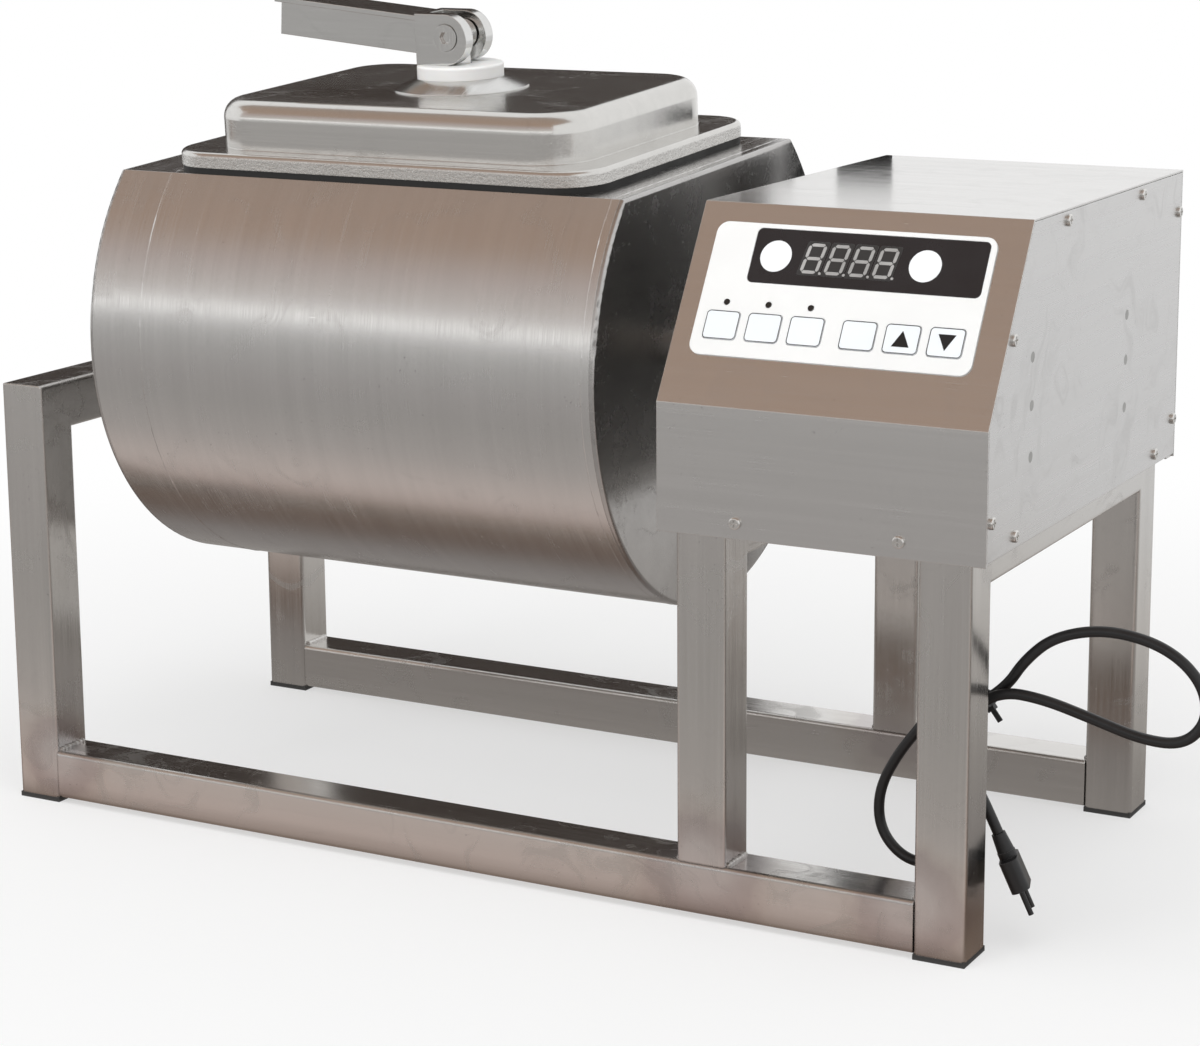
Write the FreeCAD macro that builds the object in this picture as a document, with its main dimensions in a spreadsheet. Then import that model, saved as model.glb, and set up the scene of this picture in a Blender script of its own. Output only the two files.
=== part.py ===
import FreeCAD, Part
import math
import os
import re
import Sketcher

# Meat vacuum tumbler: a stainless drum with a clamped lid, carried between a low portal and a
# drive cabinet on one welded frame. Millimetres. +X runs along the drum towards the cabinet,
# +Y from the control side to the back, +Z up. The origin lies on the floor, under the middle.

SIZES = {
    # welded frame of square tube
    "tube_width": 40,
    "tube_wall": 2,
    "tube_corner": 3.5,
    "frame_width": 406,
    "idle_portal_height": 350,
    "drive_portal_height": 309.5,
    "foot_height": 4,
    "foot_plug_height": 14,
    "foot_plug_clearance": 0.15,
    # drum
    "drum_radius": 205,
    "drum_length": 460,
    "drum_wall": 2,
    "drum_end_thickness": 4,
    "drum_edge_round": 3,
    "drum_gap": 94,
    "drive_gap": 66,
    "drum_flat": 144,
    "rest_turn": 3.4,
    "hub_radius": 55,
    "hub_thickness": 8,
    "axle_radius": 12.5,
    "air_bore_radius": 4,
    "opening_length": 300,
    "opening_width": 200,
    "opening_corner": 40,
    "opening_rim_wall": 3,
    "opening_rim_up": 6,
    "opening_rim_down": 16,
    "vane_depth": 45,
    "vane_foot": 24,
    "vane_wall": 3,
    "vane_end_gap": 12,
    "vane_seat_gap": 0.2,
    "strainer_radius": 14,
    "strainer_length": 26,
    # lid
    "lid_offset": 5,
    "lid_length": 386,
    "lid_width": 292,
    "lid_corner": 38,
    "lid_wall": 2.5,
    "lid_rim_depth": 12,
    "lid_rim_round": 4,
    "dome_length": 334,
    "dome_width": 250,
    "dome_corner": 44,
    "dome_height": 38,
    "dome_round": 15,
    "gasket_lip": 5,
    "gasket_width": 22,
    "gasket_inset": 0.8,
    # lid clamp
    "collar_base_radius": 55,
    "collar_top_radius": 37,
    "collar_height": 9,
    "washer_radius": 35,
    "washer_thickness": 10.5,
    "washer_round": 2,
    "stud_radius": 9,
    "stud_clearance": 0.3,
    "stud_eye_radius": 12,
    "stud_eye_width": 16,
    "pin_radius": 6,
    "pin_fit": 0.05,
    "pin_head_radius": 10.5,
    "pin_head_thickness": 2.5,
    "pin_recess": 1.5,
    "cam_height": 22.5,
    "cam_release": 3,
    "cam_gap": 0.2,
    "cam_radius": 20.4,
    "fork_width": 42,
    "fork_gap": 20,
    "fork_back": 28,
    "fork_top": 18.5,
    "lever_length": 160,
    "lever_height": 27,
    "lever_width": 36,
    "lever_rise": 5.3,
    "lever_cap": 4,
    "lever_cap_overhang": 5,
    "clamp_bar_length": 244,
    "clamp_bar_width": 34,
    "clamp_bar_height": 14,
    "clamp_bar_clearance": 0.4,
    "clamp_nut_radius": 15,
    "clamp_nut_height": 12,
    "stud_tail": 4,
    # bearings
    "bearing_rise": 36.5,
    "bearing_seat_thickness": 3,
    "bearing_outer_radius": 26,
    "bearing_width": 32,
    "bearing_fit": 0.05,
    "housing_radius": 34,
    "housing_width": 38,
    "housing_foot_length": 140,
    "housing_foot_height": 14,
    "housing_bolt_spacing": 105,
    "bolt_radius": 5,
    "bolt_hole_clearance": 0.4,
    "bolt_head_radius": 9,
    "bolt_head_height": 6.4,
    "bolt_tail": 9,
    # drive cabinet
    "sheet": 1.5,
    "cabinet_overhang_left": 14.5,
    "cabinet_overhang_right": 11,
    "cabinet_depth": 418.5,
    "cabinet_bottom": 291,
    "cabinet_bend": 387,
    "cabinet_top": 523.5,
    "slope_depth": 81.5,
    "cabinet_flange": 14,
    "panel_gap": 0.4,
    "panel_lift": 2.5,
    "axle_port_clearance": 6,
    "pan_flange_drop": 14,
    "screw_head_radius": 4.6,
    "screw_head_height": 2.6,
    "screw_radius": 2.5,
    "screw_length": 10,
    "screw_hole_clearance": 0.25,
    "clinch_radius": 4,
    "clinch_length": 12,
    # drive train
    "gear_module": 2,
    "gear_teeth": 60,
    "pinion_teeth": 18,
    "gear_width": 14,
    "pinion_width": 18,
    "gear_backlash": 0.3,
    "gear_hub_radius": 24,
    "gear_hub_length": 22,
    "gear_offset": 40,
    "output_shaft_radius": 6,
    "output_shaft_fit": 0.05,
    "gearbox_size": 80,
    "gearbox_length": 50,
    "motor_radius": 37,
    "motor_length": 84,
    "motor_end_gap": 9,
    "bracket_thickness": 4,
    "bracket_gap": 16,
    "bracket_foot": 56,
    "union_radius": 17,
    "union_length": 36,
    "union_gap": 6,
    "barb_radius": 4.5,
    "barb_length": 14,
    "hose_radius": 7,
    "hose_bend": 30,
    "pump_length": 52,
    "pump_width": 66,
    "pump_height": 62,
    "pump_motor_radius": 26,
    "pump_motor_length": 66,
    "pump_foot": 6,
    "pump_front_gap": 128,
    # control panel, measured on the slope
    "overlay_length": 218,
    "overlay_width": 104.5,
    "overlay_thickness": 1.2,
    "overlay_corner": 9,
    "overlay_side_gap": 15.5,
    "overlay_rise": 38.5,
    "window_length": 180,
    "window_width": 42.5,
    "window_rise": 58.25,
    "window_side_gap": 33,
    "window_clearance": 0.3,
    "key_length": 26.5,
    "key_width": 22,
    "key_pitch": 33.3,
    "key_group_gap": 7.4,
    "key_side_gap": 8.5,
    "key_rise": 12.4,
    "key_corner": 3,
    "key_thickness": 1.1,
    "key_lift": 0.7,
    "key_clearance": 0.3,
    "key_travel": 0.5,
    "key_stem_radius": 3,
    "lamp_radius": 2.2,
    "lamp_rise": 41.5,
    "lamp_pitch": 33.3,
    "lamp_side_gap": 21.7,
    "board_drop": 9,
    "board_thickness": 1.6,
    "board_margin": 8,
    "power_board_gap": 4,
    "power_board_stand": 10,
    "parts_gap": 6,
    "transformer_length": 42,
    "transformer_depth": 28,
    "transformer_height": 36,
    "relay_length": 18,
    "relay_depth": 15,
    "relay_height": 14,
    "terminals_length": 24,
    "terminals_depth": 12,
    "terminals_height": 10,
    "switch_size": 6,
    "switch_height": 4.3,
    "window_edge": 8,
    "lamp_proud": 0.5,
    # supply cord
    "cord_radius": 4,
    "gland_radius": 11,
    "gland_height": 28,
    "gland_thread_radius": 7,
    "gland_nut_height": 5,
    "tie_width": 5,
    "tie_thickness": 1.3,
    "tie_clearance": 0.3,
    "strand_pitch": 9.4,
    "plug_boot": 14,
    "plug_shoulder": 5,
    "plug_grip": 24,
    "plug_thickness": 14,
    "plug_width": 32,
    "plug_pin_radius": 2,
    "plug_pin_length": 19,
    "plug_pin_pitch": 19,
}

doc = FreeCAD.newDocument("MeatVacuumTumbler")
sheet = doc.addObject("Spreadsheet::Sheet", "Sizes")
for row, (alias, value) in enumerate(SIZES.items(), start=1):
    sheet.set("A%d" % row, alias)
    sheet.set("B%d" % row, str(value))
    sheet.setAlias("B%d" % row, alias)
places = doc.addObject("App::VarSet", "Places")
doc.recompute()

PLACES = []
PIECES = {}


def tied(formula):
    """Write a formula of size and place names as an expression on the two tables."""
    def owner(match):
        word = match.group(0)
        if word in SIZES:
            return "Sizes." + word
        return "Places." + word if word in PLACES else word
    return re.sub(r"[a-z_]+", owner, formula)


def place(name, formula):
    """Add a derived length, worked out from the sheet."""
    places.addProperty("App::PropertyFloat", name)
    places.setExpression(name, tied(formula))
    PLACES.append(name)


def mm(name):
    """Read one size or place as a number."""
    if name in SIZES:
        return float(sheet.get(name))
    return float(getattr(places, name))


# Overall layout. The frame is as long as the drum and the drive train that it carries.
# left_x and front_y are its left and front faces.
place("drive_reach", "tube_width / 2 + gear_offset + gear_width / 2 + bracket_gap + bracket_thickness")
place("drive_bay", "drive_reach + gearbox_length + motor_length + motor_end_gap")
place("frame_length", "drum_gap + drum_length + drive_gap + drive_bay")
place("overall_length", "frame_length + cabinet_overhang_right + screw_head_height")
place("left_x", "0 - overall_length / 2")
place("overall_depth", "cabinet_depth + screw_head_height")
place("cabinet_front_y", "screw_head_height - overall_depth / 2")
place("front_y", "cabinet_front_y + sheet")
place("rear_y", "front_y + frame_width")
place("cabinet_rear_y", "cabinet_front_y + cabinet_depth")
place("axis_y", "front_y + frame_width / 2")
place("rail_top", "foot_height + tube_width")
place("idle_top", "foot_height + idle_portal_height")
place("drive_top", "foot_height + drive_portal_height")
place("axis_z", "idle_top + bearing_seat_thickness + bearing_rise")
place("mid_x", "left_x + drum_gap + drum_length + drive_gap")
place("right_x", "left_x + frame_length - tube_width")
place("idle_bearing_x", "left_x + tube_width / 2")
place("drive_bearing_x", "mid_x + tube_width / 2")

# Drum and lid. The drum stands a little turned about its axle, towards the control side.
place("drum_x", "left_x + drum_gap")
place("drum_right_x", "drum_x + drum_length")
place("opening_x", "drum_length / 2 + lid_offset")
place("rest_sine", "sin(rest_turn * 1deg)")
place("rest_cosine", "cos(rest_turn * 1deg)")
place("lid_top_flange", "gasket_lip + lid_rim_depth")
place("dome_top", "lid_top_flange + dome_height")
place("collar_top", "dome_top + collar_height")
place("washer_top", "collar_top + washer_thickness")
place("pin_height", "washer_top + cam_height")
place("rim_bottom", "0 - drum_wall - opening_rim_down")
place("bar_top", "rim_bottom - clamp_bar_clearance")
place("bar_bottom", "bar_top - clamp_bar_height")
place("stud_bore", "stud_radius + stud_clearance")

# Drive cabinet, drive train and control panel.
place("cabinet_left_x", "mid_x - cabinet_overhang_left")
place("cabinet_right_x", "left_x + frame_length + cabinet_overhang_right")
place("cabinet_low_z", "foot_height + cabinet_bottom")
place("bend_z", "foot_height + cabinet_bend")
place("cabinet_high_z", "foot_height + cabinet_top")
place("slope_rise", "cabinet_top - cabinet_bend")
place("slope_length", "sqrt(slope_rise ^ 2 + slope_depth ^ 2)")
place("slope_sine", "slope_rise / slope_length")
place("slope_cosine", "slope_depth / slope_length")
place("bend_step", "(1 - slope_sine) / slope_cosine")
place("brow_step", "(1 - slope_cosine) / slope_sine")
place("pan_top", "drive_top + sheet")
place("gear_x", "drive_bearing_x + gear_offset")
place("pitch_distance", "gear_module * (gear_teeth + pinion_teeth) / 2")
place("motor_y", "axis_y + pitch_distance")
place("bracket_x", "gear_x + gear_width / 2 + bracket_gap")
place("axle_end_x", "gear_x + gear_width / 2 + union_gap + union_length * 0.7")
place("pump_port_x", "gear_x + gear_width / 2 + union_gap + union_length + barb_length + 2 * hose_bend")
place("pump_rear_y", "front_y + pump_front_gap + pump_width / 2")
place("pump_port_z", "pan_top + pump_foot + pump_height / 2")
place("gland_x", "right_x - gland_radius - 9")
place("gland_y", "front_y + tube_width + 38")
place("gland_low", "drive_top - gland_height")
place("shaft_end_x", "bracket_x + bracket_thickness + gearbox_length / 2")
place("gearbox_screw_reach", "gearbox_size * 0.4")
doc.recompute()


def bind(obj, **formulas):
    """Bind properties to formulas; two underscores stand for a dot."""
    for name, formula in formulas.items():
        obj.setExpression(name.replace("__", "."), tied(formula))


def seat(obj, x="0", y="0", z="0", axis=None, turn=None):
    """Place an object at three formulas, turned by a formula in degrees about an axis."""
    if axis:
        obj.Placement = FreeCAD.Placement(FreeCAD.Vector(), FreeCAD.Rotation(FreeCAD.Vector(*axis), 10))
        obj.setExpression("Placement.Rotation.Angle", tied(turn))
    obj.setExpression("Placement.Base.x", tied(x))
    obj.setExpression("Placement.Base.y", tied(y))
    obj.setExpression("Placement.Base.z", tied(z))


def seat_on_drum(obj):
    """Place an object modelled about the axle, with x counted from the drum's idle end."""
    seat(obj, "drum_x", "axis_y", "axis_z", (1, 0, 0), "rest_turn * 1deg")


def seat_on_lid(obj):
    """Place an object modelled about the middle of the drum's flat, under the lid."""
    seat(obj, "drum_x + opening_x", "axis_y - drum_flat * rest_sine", "axis_z + drum_flat * rest_cosine",
         (1, 0, 0), "rest_turn * 1deg")


def seat_on_slope(obj):
    """Place an object modelled on the slope: x from its left edge, y up it, z out of it."""
    seat(obj, "cabinet_left_x", "cabinet_front_y", "bend_z", (1, 0, 0), "atan(slope_rise / slope_depth)")


def piece(obj, label):
    """Register a finished sub-part under its node name."""
    obj.Label = label
    PIECES[label] = obj
    return obj


def box(name, x, y, z, length, width, height):
    """A block from its low corner and three lengths, all formulas."""
    obj = doc.addObject("Part::Box", name)
    bind(obj, Length=length, Width=width, Height=height)
    seat(obj, x, y, z)
    return obj


def cylinder(name, along, x, y, z, radius, height):
    """A round bar along X, Y or Z from the middle of its first end."""
    turns = {"X": ((0, 1, 0), "90deg"), "Y": ((1, 0, 0), "-90deg"), "Z": (None, None)}
    obj = doc.addObject("Part::Cylinder", name)
    bind(obj, Radius=radius, Height=height)
    seat(obj, x, y, z, *turns[along])
    return obj


def fuse(name, *parts):
    obj = doc.addObject("Part::MultiFuse", name)
    obj.Shapes = list(parts)
    return obj


def cut(name, base, *tools):
    obj = doc.addObject("Part::Cut", name)
    obj.Base = base
    obj.Tool = tools[0] if len(tools) == 1 else fuse(name + "_tools", *tools)
    return obj


def group(name, *parts):
    """Several separate solids of one kind in one node."""
    obj = doc.addObject("Part::Compound", name)
    obj.Links = list(parts)
    return obj


def solid(name, shape):
    """A sub-part whose shape is made here from the sheet's values."""
    obj = doc.addObject("Part::Feature", name)
    obj.Shape = shape
    return obj


# ---- Sketches and features of the PartDesign bodies ----------------------------------------

def new_body(name):
    return doc.addObject("PartDesign::Body", name)


def new_sketch(body, name, role, offset="0", shift_x="0", shift_y="0"):
    """A sketch on one of the body's origin planes, moved along its normal and in its plane."""
    sketch = body.newObject("Sketcher::SketchObject", name)
    support = [plane for plane in body.Origin.OriginFeatures if plane.Role == role][0]
    sketch.AttachmentSupport = (support, [""])
    sketch.MapMode = "FlatFace"
    sketch.setExpression("AttachmentOffset.Base.x", tied(shift_x))
    sketch.setExpression("AttachmentOffset.Base.y", tied(shift_y))
    sketch.setExpression("AttachmentOffset.Base.z", tied(offset))
    return sketch


def hold(sketch, kind, where, rough, formula):
    """Add a dimension that starts at its rough value and then follows a formula."""
    index = sketch.addConstraint(Sketcher.Constraint(kind, *where, rough))
    sketch.setExpression("Constraints[%d]" % index, tied(formula))


def outline(sketch, corners):
    """A closed straight outline whose corners are pairs of formulas."""
    first = sketch.GeometryCount
    count = len(corners)
    rough = [FreeCAD.Vector(100 * math.cos(2 * math.pi * i / count),
                            100 * math.sin(2 * math.pi * i / count), 0)
             for i in range(count)]
    for i in range(count):
        sketch.addGeometry(Part.LineSegment(rough[i], rough[(i + 1) % count]), False)
    for i, (across, up) in enumerate(corners):
        sketch.addConstraint(Sketcher.Constraint("Coincident", first + i, 2, first + (i + 1) % count, 1))
        hold(sketch, "DistanceX", (-1, 1, first + i, 1), rough[i].x, across)
        hold(sketch, "DistanceY", (-1, 1, first + i, 1), rough[i].y, up)


def circle(sketch, radius, across="0", up="0"):
    index = sketch.addGeometry(Part.Circle(FreeCAD.Vector(1, 1, 0), FreeCAD.Vector(0, 0, 1), 5), False)
    hold(sketch, "Radius", (index,), 5, radius)
    hold(sketch, "DistanceX", (-1, 1, index, 3), 1, across)
    hold(sketch, "DistanceY", (-1, 1, index, 3), 1, up)


def rounded_rectangle(sketch, length, width, corner):
    """A centred rectangle with round corners; the three values are formulas."""
    first = sketch.GeometryCount
    reach, radius = 20.0, 5.0
    inner = reach - radius
    for quarter in range(4):
        turn = FreeCAD.Rotation(FreeCAD.Vector(0, 0, 1), 90 * quarter)
        side = [turn.multVec(FreeCAD.Vector(inner * sign, -reach, 0)) for sign in (-1, 1)]
        sketch.addGeometry(Part.LineSegment(side[0], side[1]), False)
        middle = turn.multVec(FreeCAD.Vector(inner, -inner, 0))
        bow = Part.Circle(middle, FreeCAD.Vector(0, 0, 1), radius)
        start = math.radians(90 * quarter - 90)
        sketch.addGeometry(Part.ArcOfCircle(bow, start, start + math.pi / 2), False)
    for quarter in range(4):
        line, arc = first + 2 * quarter, first + 2 * quarter + 1
        following = first + (2 * quarter + 2) % 8
        sketch.addConstraint(Sketcher.Constraint("Tangent", line, 2, arc, 1))
        sketch.addConstraint(Sketcher.Constraint("Tangent", arc, 2, following, 1))
        level = "Horizontal" if quarter % 2 == 0 else "Vertical"
        sketch.addConstraint(Sketcher.Constraint(level, line))
        if quarter:
            sketch.addConstraint(Sketcher.Constraint("Equal", first + 1, arc))
    hold(sketch, "Radius", (first + 1,), radius, corner)
    hold(sketch, "DistanceY", (first, 1, -1, 1), reach, "(%s) / 2" % width)
    hold(sketch, "DistanceX", (-1, 1, first + 2, 1), reach, "(%s) / 2" % length)
    hold(sketch, "DistanceY", (-1, 1, first + 4, 1), reach, "(%s) / 2" % width)
    hold(sketch, "DistanceX", (first + 6, 1, -1, 1), reach, "(%s) / 2" % length)


def flatted_circle(sketch, radius, flat):
    """A circle about the origin, cut off by a level chord above it."""
    start, end = math.radians(135), math.radians(405)
    bow = Part.Circle(FreeCAD.Vector(), FreeCAD.Vector(0, 0, 1), 10)
    arc = sketch.addGeometry(Part.ArcOfCircle(bow, start, end), False)
    high = 10 * math.sin(start)
    chord = sketch.addGeometry(Part.LineSegment(FreeCAD.Vector(high, high, 0),
                                                FreeCAD.Vector(-high, high, 0)), False)
    sketch.addConstraint(Sketcher.Constraint("Coincident", arc, 3, -1, 1))
    sketch.addConstraint(Sketcher.Constraint("Coincident", arc, 2, chord, 1))
    sketch.addConstraint(Sketcher.Constraint("Coincident", chord, 2, arc, 1))
    sketch.addConstraint(Sketcher.Constraint("Horizontal", chord))
    hold(sketch, "Radius", (arc,), 10, radius)
    hold(sketch, "DistanceY", (-1, 1, chord, 1), high, flat)


def feature(body, kind, name, sketch, length, reversed_way=False):
    """A pad or pocket of a sketch by a formula's length."""
    made = body.newObject("PartDesign::" + kind, name)
    made.Profile = sketch
    made.Reversed = reversed_way
    made.setExpression("Length", tied(length))
    body.Tip = made
    return made


def revolve(body, name, sketch, line="H_Axis"):
    made = body.newObject("PartDesign::Revolution", name)
    made.Profile = sketch
    made.ReferenceAxis = (sketch, [line])
    made.Angle = 360
    body.Tip = made
    return made


def round_edges(body, name, radius, chosen):
    """Round the edges of the tip for which chosen(edge) is true."""
    doc.recompute()
    base = body.Tip
    names = ["Edge%d" % (i + 1) for i, edge in enumerate(base.Shape.Edges) if chosen(edge)]
    made = body.newObject("PartDesign::Fillet", name)
    made.Base = (base, names)
    made.setExpression("Radius", tied(radius))
    body.Tip = made
    return made


def in_plane(axis, level):
    """A test for edges that lie wholly in one plane across x, y or z (0, 1 or 2)."""
    def chosen(edge):
        ends = edge.BoundBox
        low = (ends.XMin, ends.YMin, ends.ZMin)[axis]
        high = (ends.XMax, ends.YMax, ends.ZMax)[axis]
        return abs(low - level) < 0.01 and abs(high - level) < 0.01
    return chosen


# ---- Welded frame ---------------------------------------------------------------------------

def bottom_rail(label, side_y):
    """A square tube along X between the two end portals, open at both ends against them."""
    body = new_body(label)
    section = new_sketch(body, label + "_section", "YZ_Plane")
    rounded_rectangle(section, "tube_width", "tube_width", "tube_corner")
    rounded_rectangle(section, "tube_width - 2 * tube_wall", "tube_width - 2 * tube_wall",
                      "tube_corner - tube_wall")
    feature(body, "Pad", label + "_pad", section, "frame_length - 2 * tube_width")
    seat(body, "left_x + tube_width", side_y, "foot_height + tube_width / 2")
    return piece(body, label)


def portal(label, low_x, bottom, top, seat_y=None):
    """Two posts and a beam of one square tube, open at the posts' lower ends."""
    body = new_body(label)

    def arch(sketch, inset):
        wall, deep = inset, "(tube_width - %s)" % inset
        outline(sketch, [
            ("front_y + " + wall, bottom), ("front_y + " + wall, "%s - %s" % (top, wall)),
            ("rear_y - " + wall, "%s - %s" % (top, wall)), ("rear_y - " + wall, bottom),
            ("rear_y - " + deep, bottom), ("rear_y - " + deep, "%s - %s" % (top, deep)),
            ("front_y + " + deep, "%s - %s" % (top, deep)), ("front_y + " + deep, bottom)])

    skin = new_sketch(body, label + "_skin", "YZ_Plane", low_x)
    arch(skin, "0")
    feature(body, "Pad", label + "_pad", skin, "tube_width")
    doc.recompute()
    faces = (mm(low_x), mm(low_x) + mm("tube_width"))
    foot = mm(bottom)

    def long_edge(edge):
        at_face = any(in_plane(0, level)(edge) for level in faces)
        return at_face and not in_plane(2, foot)(edge)

    round_edges(body, label + "_corners", "tube_corner", long_edge)
    hollow = new_sketch(body, label + "_hollow", "YZ_Plane", "%s + tube_wall" % low_x)
    arch(hollow, "tube_wall")
    feature(body, "Pocket", label + "_bore", hollow, "tube_width - 2 * tube_wall", True)
    if seat_y:
        holes = new_sketch(body, label + "_bolt_holes", "XY_Plane", top)
        for way in ("-", "+"):
            circle(holes, "bolt_radius + bolt_hole_clearance", "%s + tube_width / 2" % low_x,
                   "%s %s housing_bolt_spacing / 2" % (seat_y, way))
        feature(body, "Pocket", label + "_holes", holes, "tube_wall * 2")
    return piece(body, label)


bottom_rail("front_bottom_rail", "front_y + tube_width / 2")
bottom_rail("rear_bottom_rail", "rear_y - tube_width / 2")
portal("idle_end_portal", "left_x", "foot_height", "idle_top", "axis_y")
portal("middle_portal", "mid_x", "rail_top", "drive_top")
portal("cabinet_end_portal", "right_x", "foot_height", "drive_top")


def foot_pads():
    """A pad with a plug that presses into each corner post."""
    pads = []
    for end, corner_x in enumerate(("left_x", "right_x")):
        for side, corner_y in enumerate(("front_y", "rear_y - tube_width")):
            name = "foot_%d_%d" % (end, side)
            pad = box(name + "_pad", corner_x, corner_y, "0", "tube_width", "tube_width", "foot_height")
            gap = "(tube_wall + foot_plug_clearance)"
            plug = box(name + "_plug", "%s + %s" % (corner_x, gap), "%s + %s" % (corner_y, gap),
                       "foot_height",
                       "tube_width - 2 * " + gap, "tube_width - 2 * " + gap, "foot_plug_height")
            pads.append(fuse(name, pad, plug))
    return piece(group("foot_pads", *pads), "foot_pads")


foot_pads()


# ---- Drum, modelled about its axle with x from the idle end ---------------------------------

def drum_shell():
    """The rolled shell with its flat top plate and the filling opening."""
    body = new_body("drum_shell")
    ring = new_sketch(body, "drum_shell_section", "YZ_Plane", "drum_end_thickness")
    flatted_circle(ring, "drum_radius", "drum_flat")
    flatted_circle(ring, "drum_radius - drum_wall", "drum_flat - drum_wall")
    feature(body, "Pad", "drum_shell_pad", ring, "drum_length - 2 * drum_end_thickness")
    mouth = new_sketch(body, "drum_opening", "XY_Plane", "drum_flat", "opening_x")
    rounded_rectangle(mouth, "opening_length", "opening_width", "opening_corner")
    feature(body, "Pocket", "drum_opening_cut", mouth, "drum_wall * 2")
    seat_on_drum(body)
    return piece(body, "drum_shell")


def drum_ends():
    """Two flatted discs that close the shell, rounded at their outer edges, with the air port."""
    body = new_body("drum_end")
    disc = new_sketch(body, "drum_end_outline", "YZ_Plane", "0")
    flatted_circle(disc, "drum_radius", "drum_flat")
    circle(disc, "air_bore_radius")
    feature(body, "Pad", "drum_end_pad", disc, "drum_end_thickness")
    doc.recompute()
    port = mm("air_bore_radius") + 1

    def rim(edge):
        return in_plane(0, 0.0)(edge) and edge.BoundBox.YLength > 2 * port

    round_edges(body, "drum_end_edge", "drum_edge_round", rim)
    seat_on_drum(body)
    mirrored = doc.addObject("Part::Mirroring", "drum_drive_end")
    mirrored.Source = body
    mirrored.Normal = (1, 0, 0)
    mirrored.setExpression("Base.x", tied("drum_x + drum_length / 2"))
    piece(body, "drum_idle_end")
    piece(mirrored, "drum_drive_end")


drum_shell()
drum_ends()


def opening_rim():
    """The welded band round the opening, which locates the lid and takes the clamp bar."""
    body = new_body("opening_rim")
    band = new_sketch(body, "opening_rim_section", "XY_Plane", "rim_bottom")
    rounded_rectangle(band, "opening_length", "opening_width", "opening_corner")
    rounded_rectangle(band, "opening_length - 2 * opening_rim_wall",
                      "opening_width - 2 * opening_rim_wall",
                      "opening_corner - opening_rim_wall")
    feature(body, "Pad", "opening_rim_pad", band, "drum_wall + opening_rim_down + opening_rim_up")
    seat_on_lid(body)
    return piece(body, "opening_rim")


def mixing_vanes():
    """Three bent plates inside the shell that lift and fold the meat."""
    length = mm("drum_length") - 2 * (mm("drum_end_thickness") + mm("vane_end_gap"))
    reach = mm("drum_radius") - mm("drum_wall") - mm("vane_seat_gap")
    wall = mm("vane_wall")
    low_x = mm("drum_end_thickness") + mm("vane_end_gap")
    vanes = []
    for angle in (-150, -90, -30):
        fin = Part.makeBox(length, mm("vane_depth"), wall,
                           FreeCAD.Vector(low_x, reach - mm("vane_depth"), 0))
        rest = math.sqrt(reach ** 2 - mm("vane_foot") ** 2)
        foot = Part.makeBox(length, wall, mm("vane_foot"), FreeCAD.Vector(low_x, rest - wall, 0))
        trim = Part.makeCylinder(reach, length, FreeCAD.Vector(low_x, 0, 0), FreeCAD.Vector(1, 0, 0))
        vane = fin.fuse(foot).common(trim).removeSplitter()
        vane.rotate(FreeCAD.Vector(), FreeCAD.Vector(1, 0, 0), angle)
        vanes += vane.Solids
    vanes = solid("mixing_vanes", Part.makeCompound(vanes))
    seat_on_drum(vanes)
    return piece(vanes, "mixing_vanes")


def idle_axle():
    """Flange and solid stub on the idle side, held by the left bearing."""
    body = new_body("idle_axle")
    half = new_sketch(body, "idle_axle_profile", "XY_Plane")
    outline(half, [("0", "0"), ("0", "hub_radius"), ("0 - hub_thickness", "hub_radius"),
                   ("0 - hub_thickness", "axle_radius"),
                   ("0 - drum_gap + tube_width / 2 - bearing_width / 2 - 4", "axle_radius"),
                   ("0 - drum_gap + tube_width / 2 - bearing_width / 2 - 4", "0")])
    revolve(body, "idle_axle_turned", half)
    seat_on_drum(body)
    return piece(body, "idle_axle")


def drive_axle():
    """Flange and bored stub on the drive side, with the air passage to the rotary union."""
    body = new_body("drive_axle")
    half = new_sketch(body, "drive_axle_profile", "XY_Plane")
    reach = "axle_end_x - drum_x"
    outline(half, [("drum_length", "air_bore_radius"), ("drum_length", "hub_radius"),
                   ("drum_length + hub_thickness", "hub_radius"),
                   ("drum_length + hub_thickness", "axle_radius"),
                   (reach, "axle_radius"), (reach, "air_bore_radius")])
    revolve(body, "drive_axle_turned", half)
    seat_on_drum(body)
    return piece(body, "drive_axle")


def air_strainer():
    """The cap inside the drum that keeps meat out of the air passage."""
    body = new_body("air_strainer")
    half = new_sketch(body, "air_strainer_profile", "XY_Plane")
    face = "drum_length - drum_end_thickness"
    outline(half, [(face, "air_bore_radius"), (face, "strainer_radius"),
                   (face + " - strainer_length", "strainer_radius"), (face + " - strainer_length", "0"),
                   (face + " - strainer_length + 3", "0"),
                   (face + " - strainer_length + 3", "air_bore_radius")])
    revolve(body, "air_strainer_turned", half)
    seat_on_drum(body)
    return piece(body, "air_strainer")


opening_rim()
mixing_vanes()
idle_axle()
drive_axle()
air_strainer()


# ---- Lid and clamp, modelled about the middle of the drum's flat ----------------------------

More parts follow.
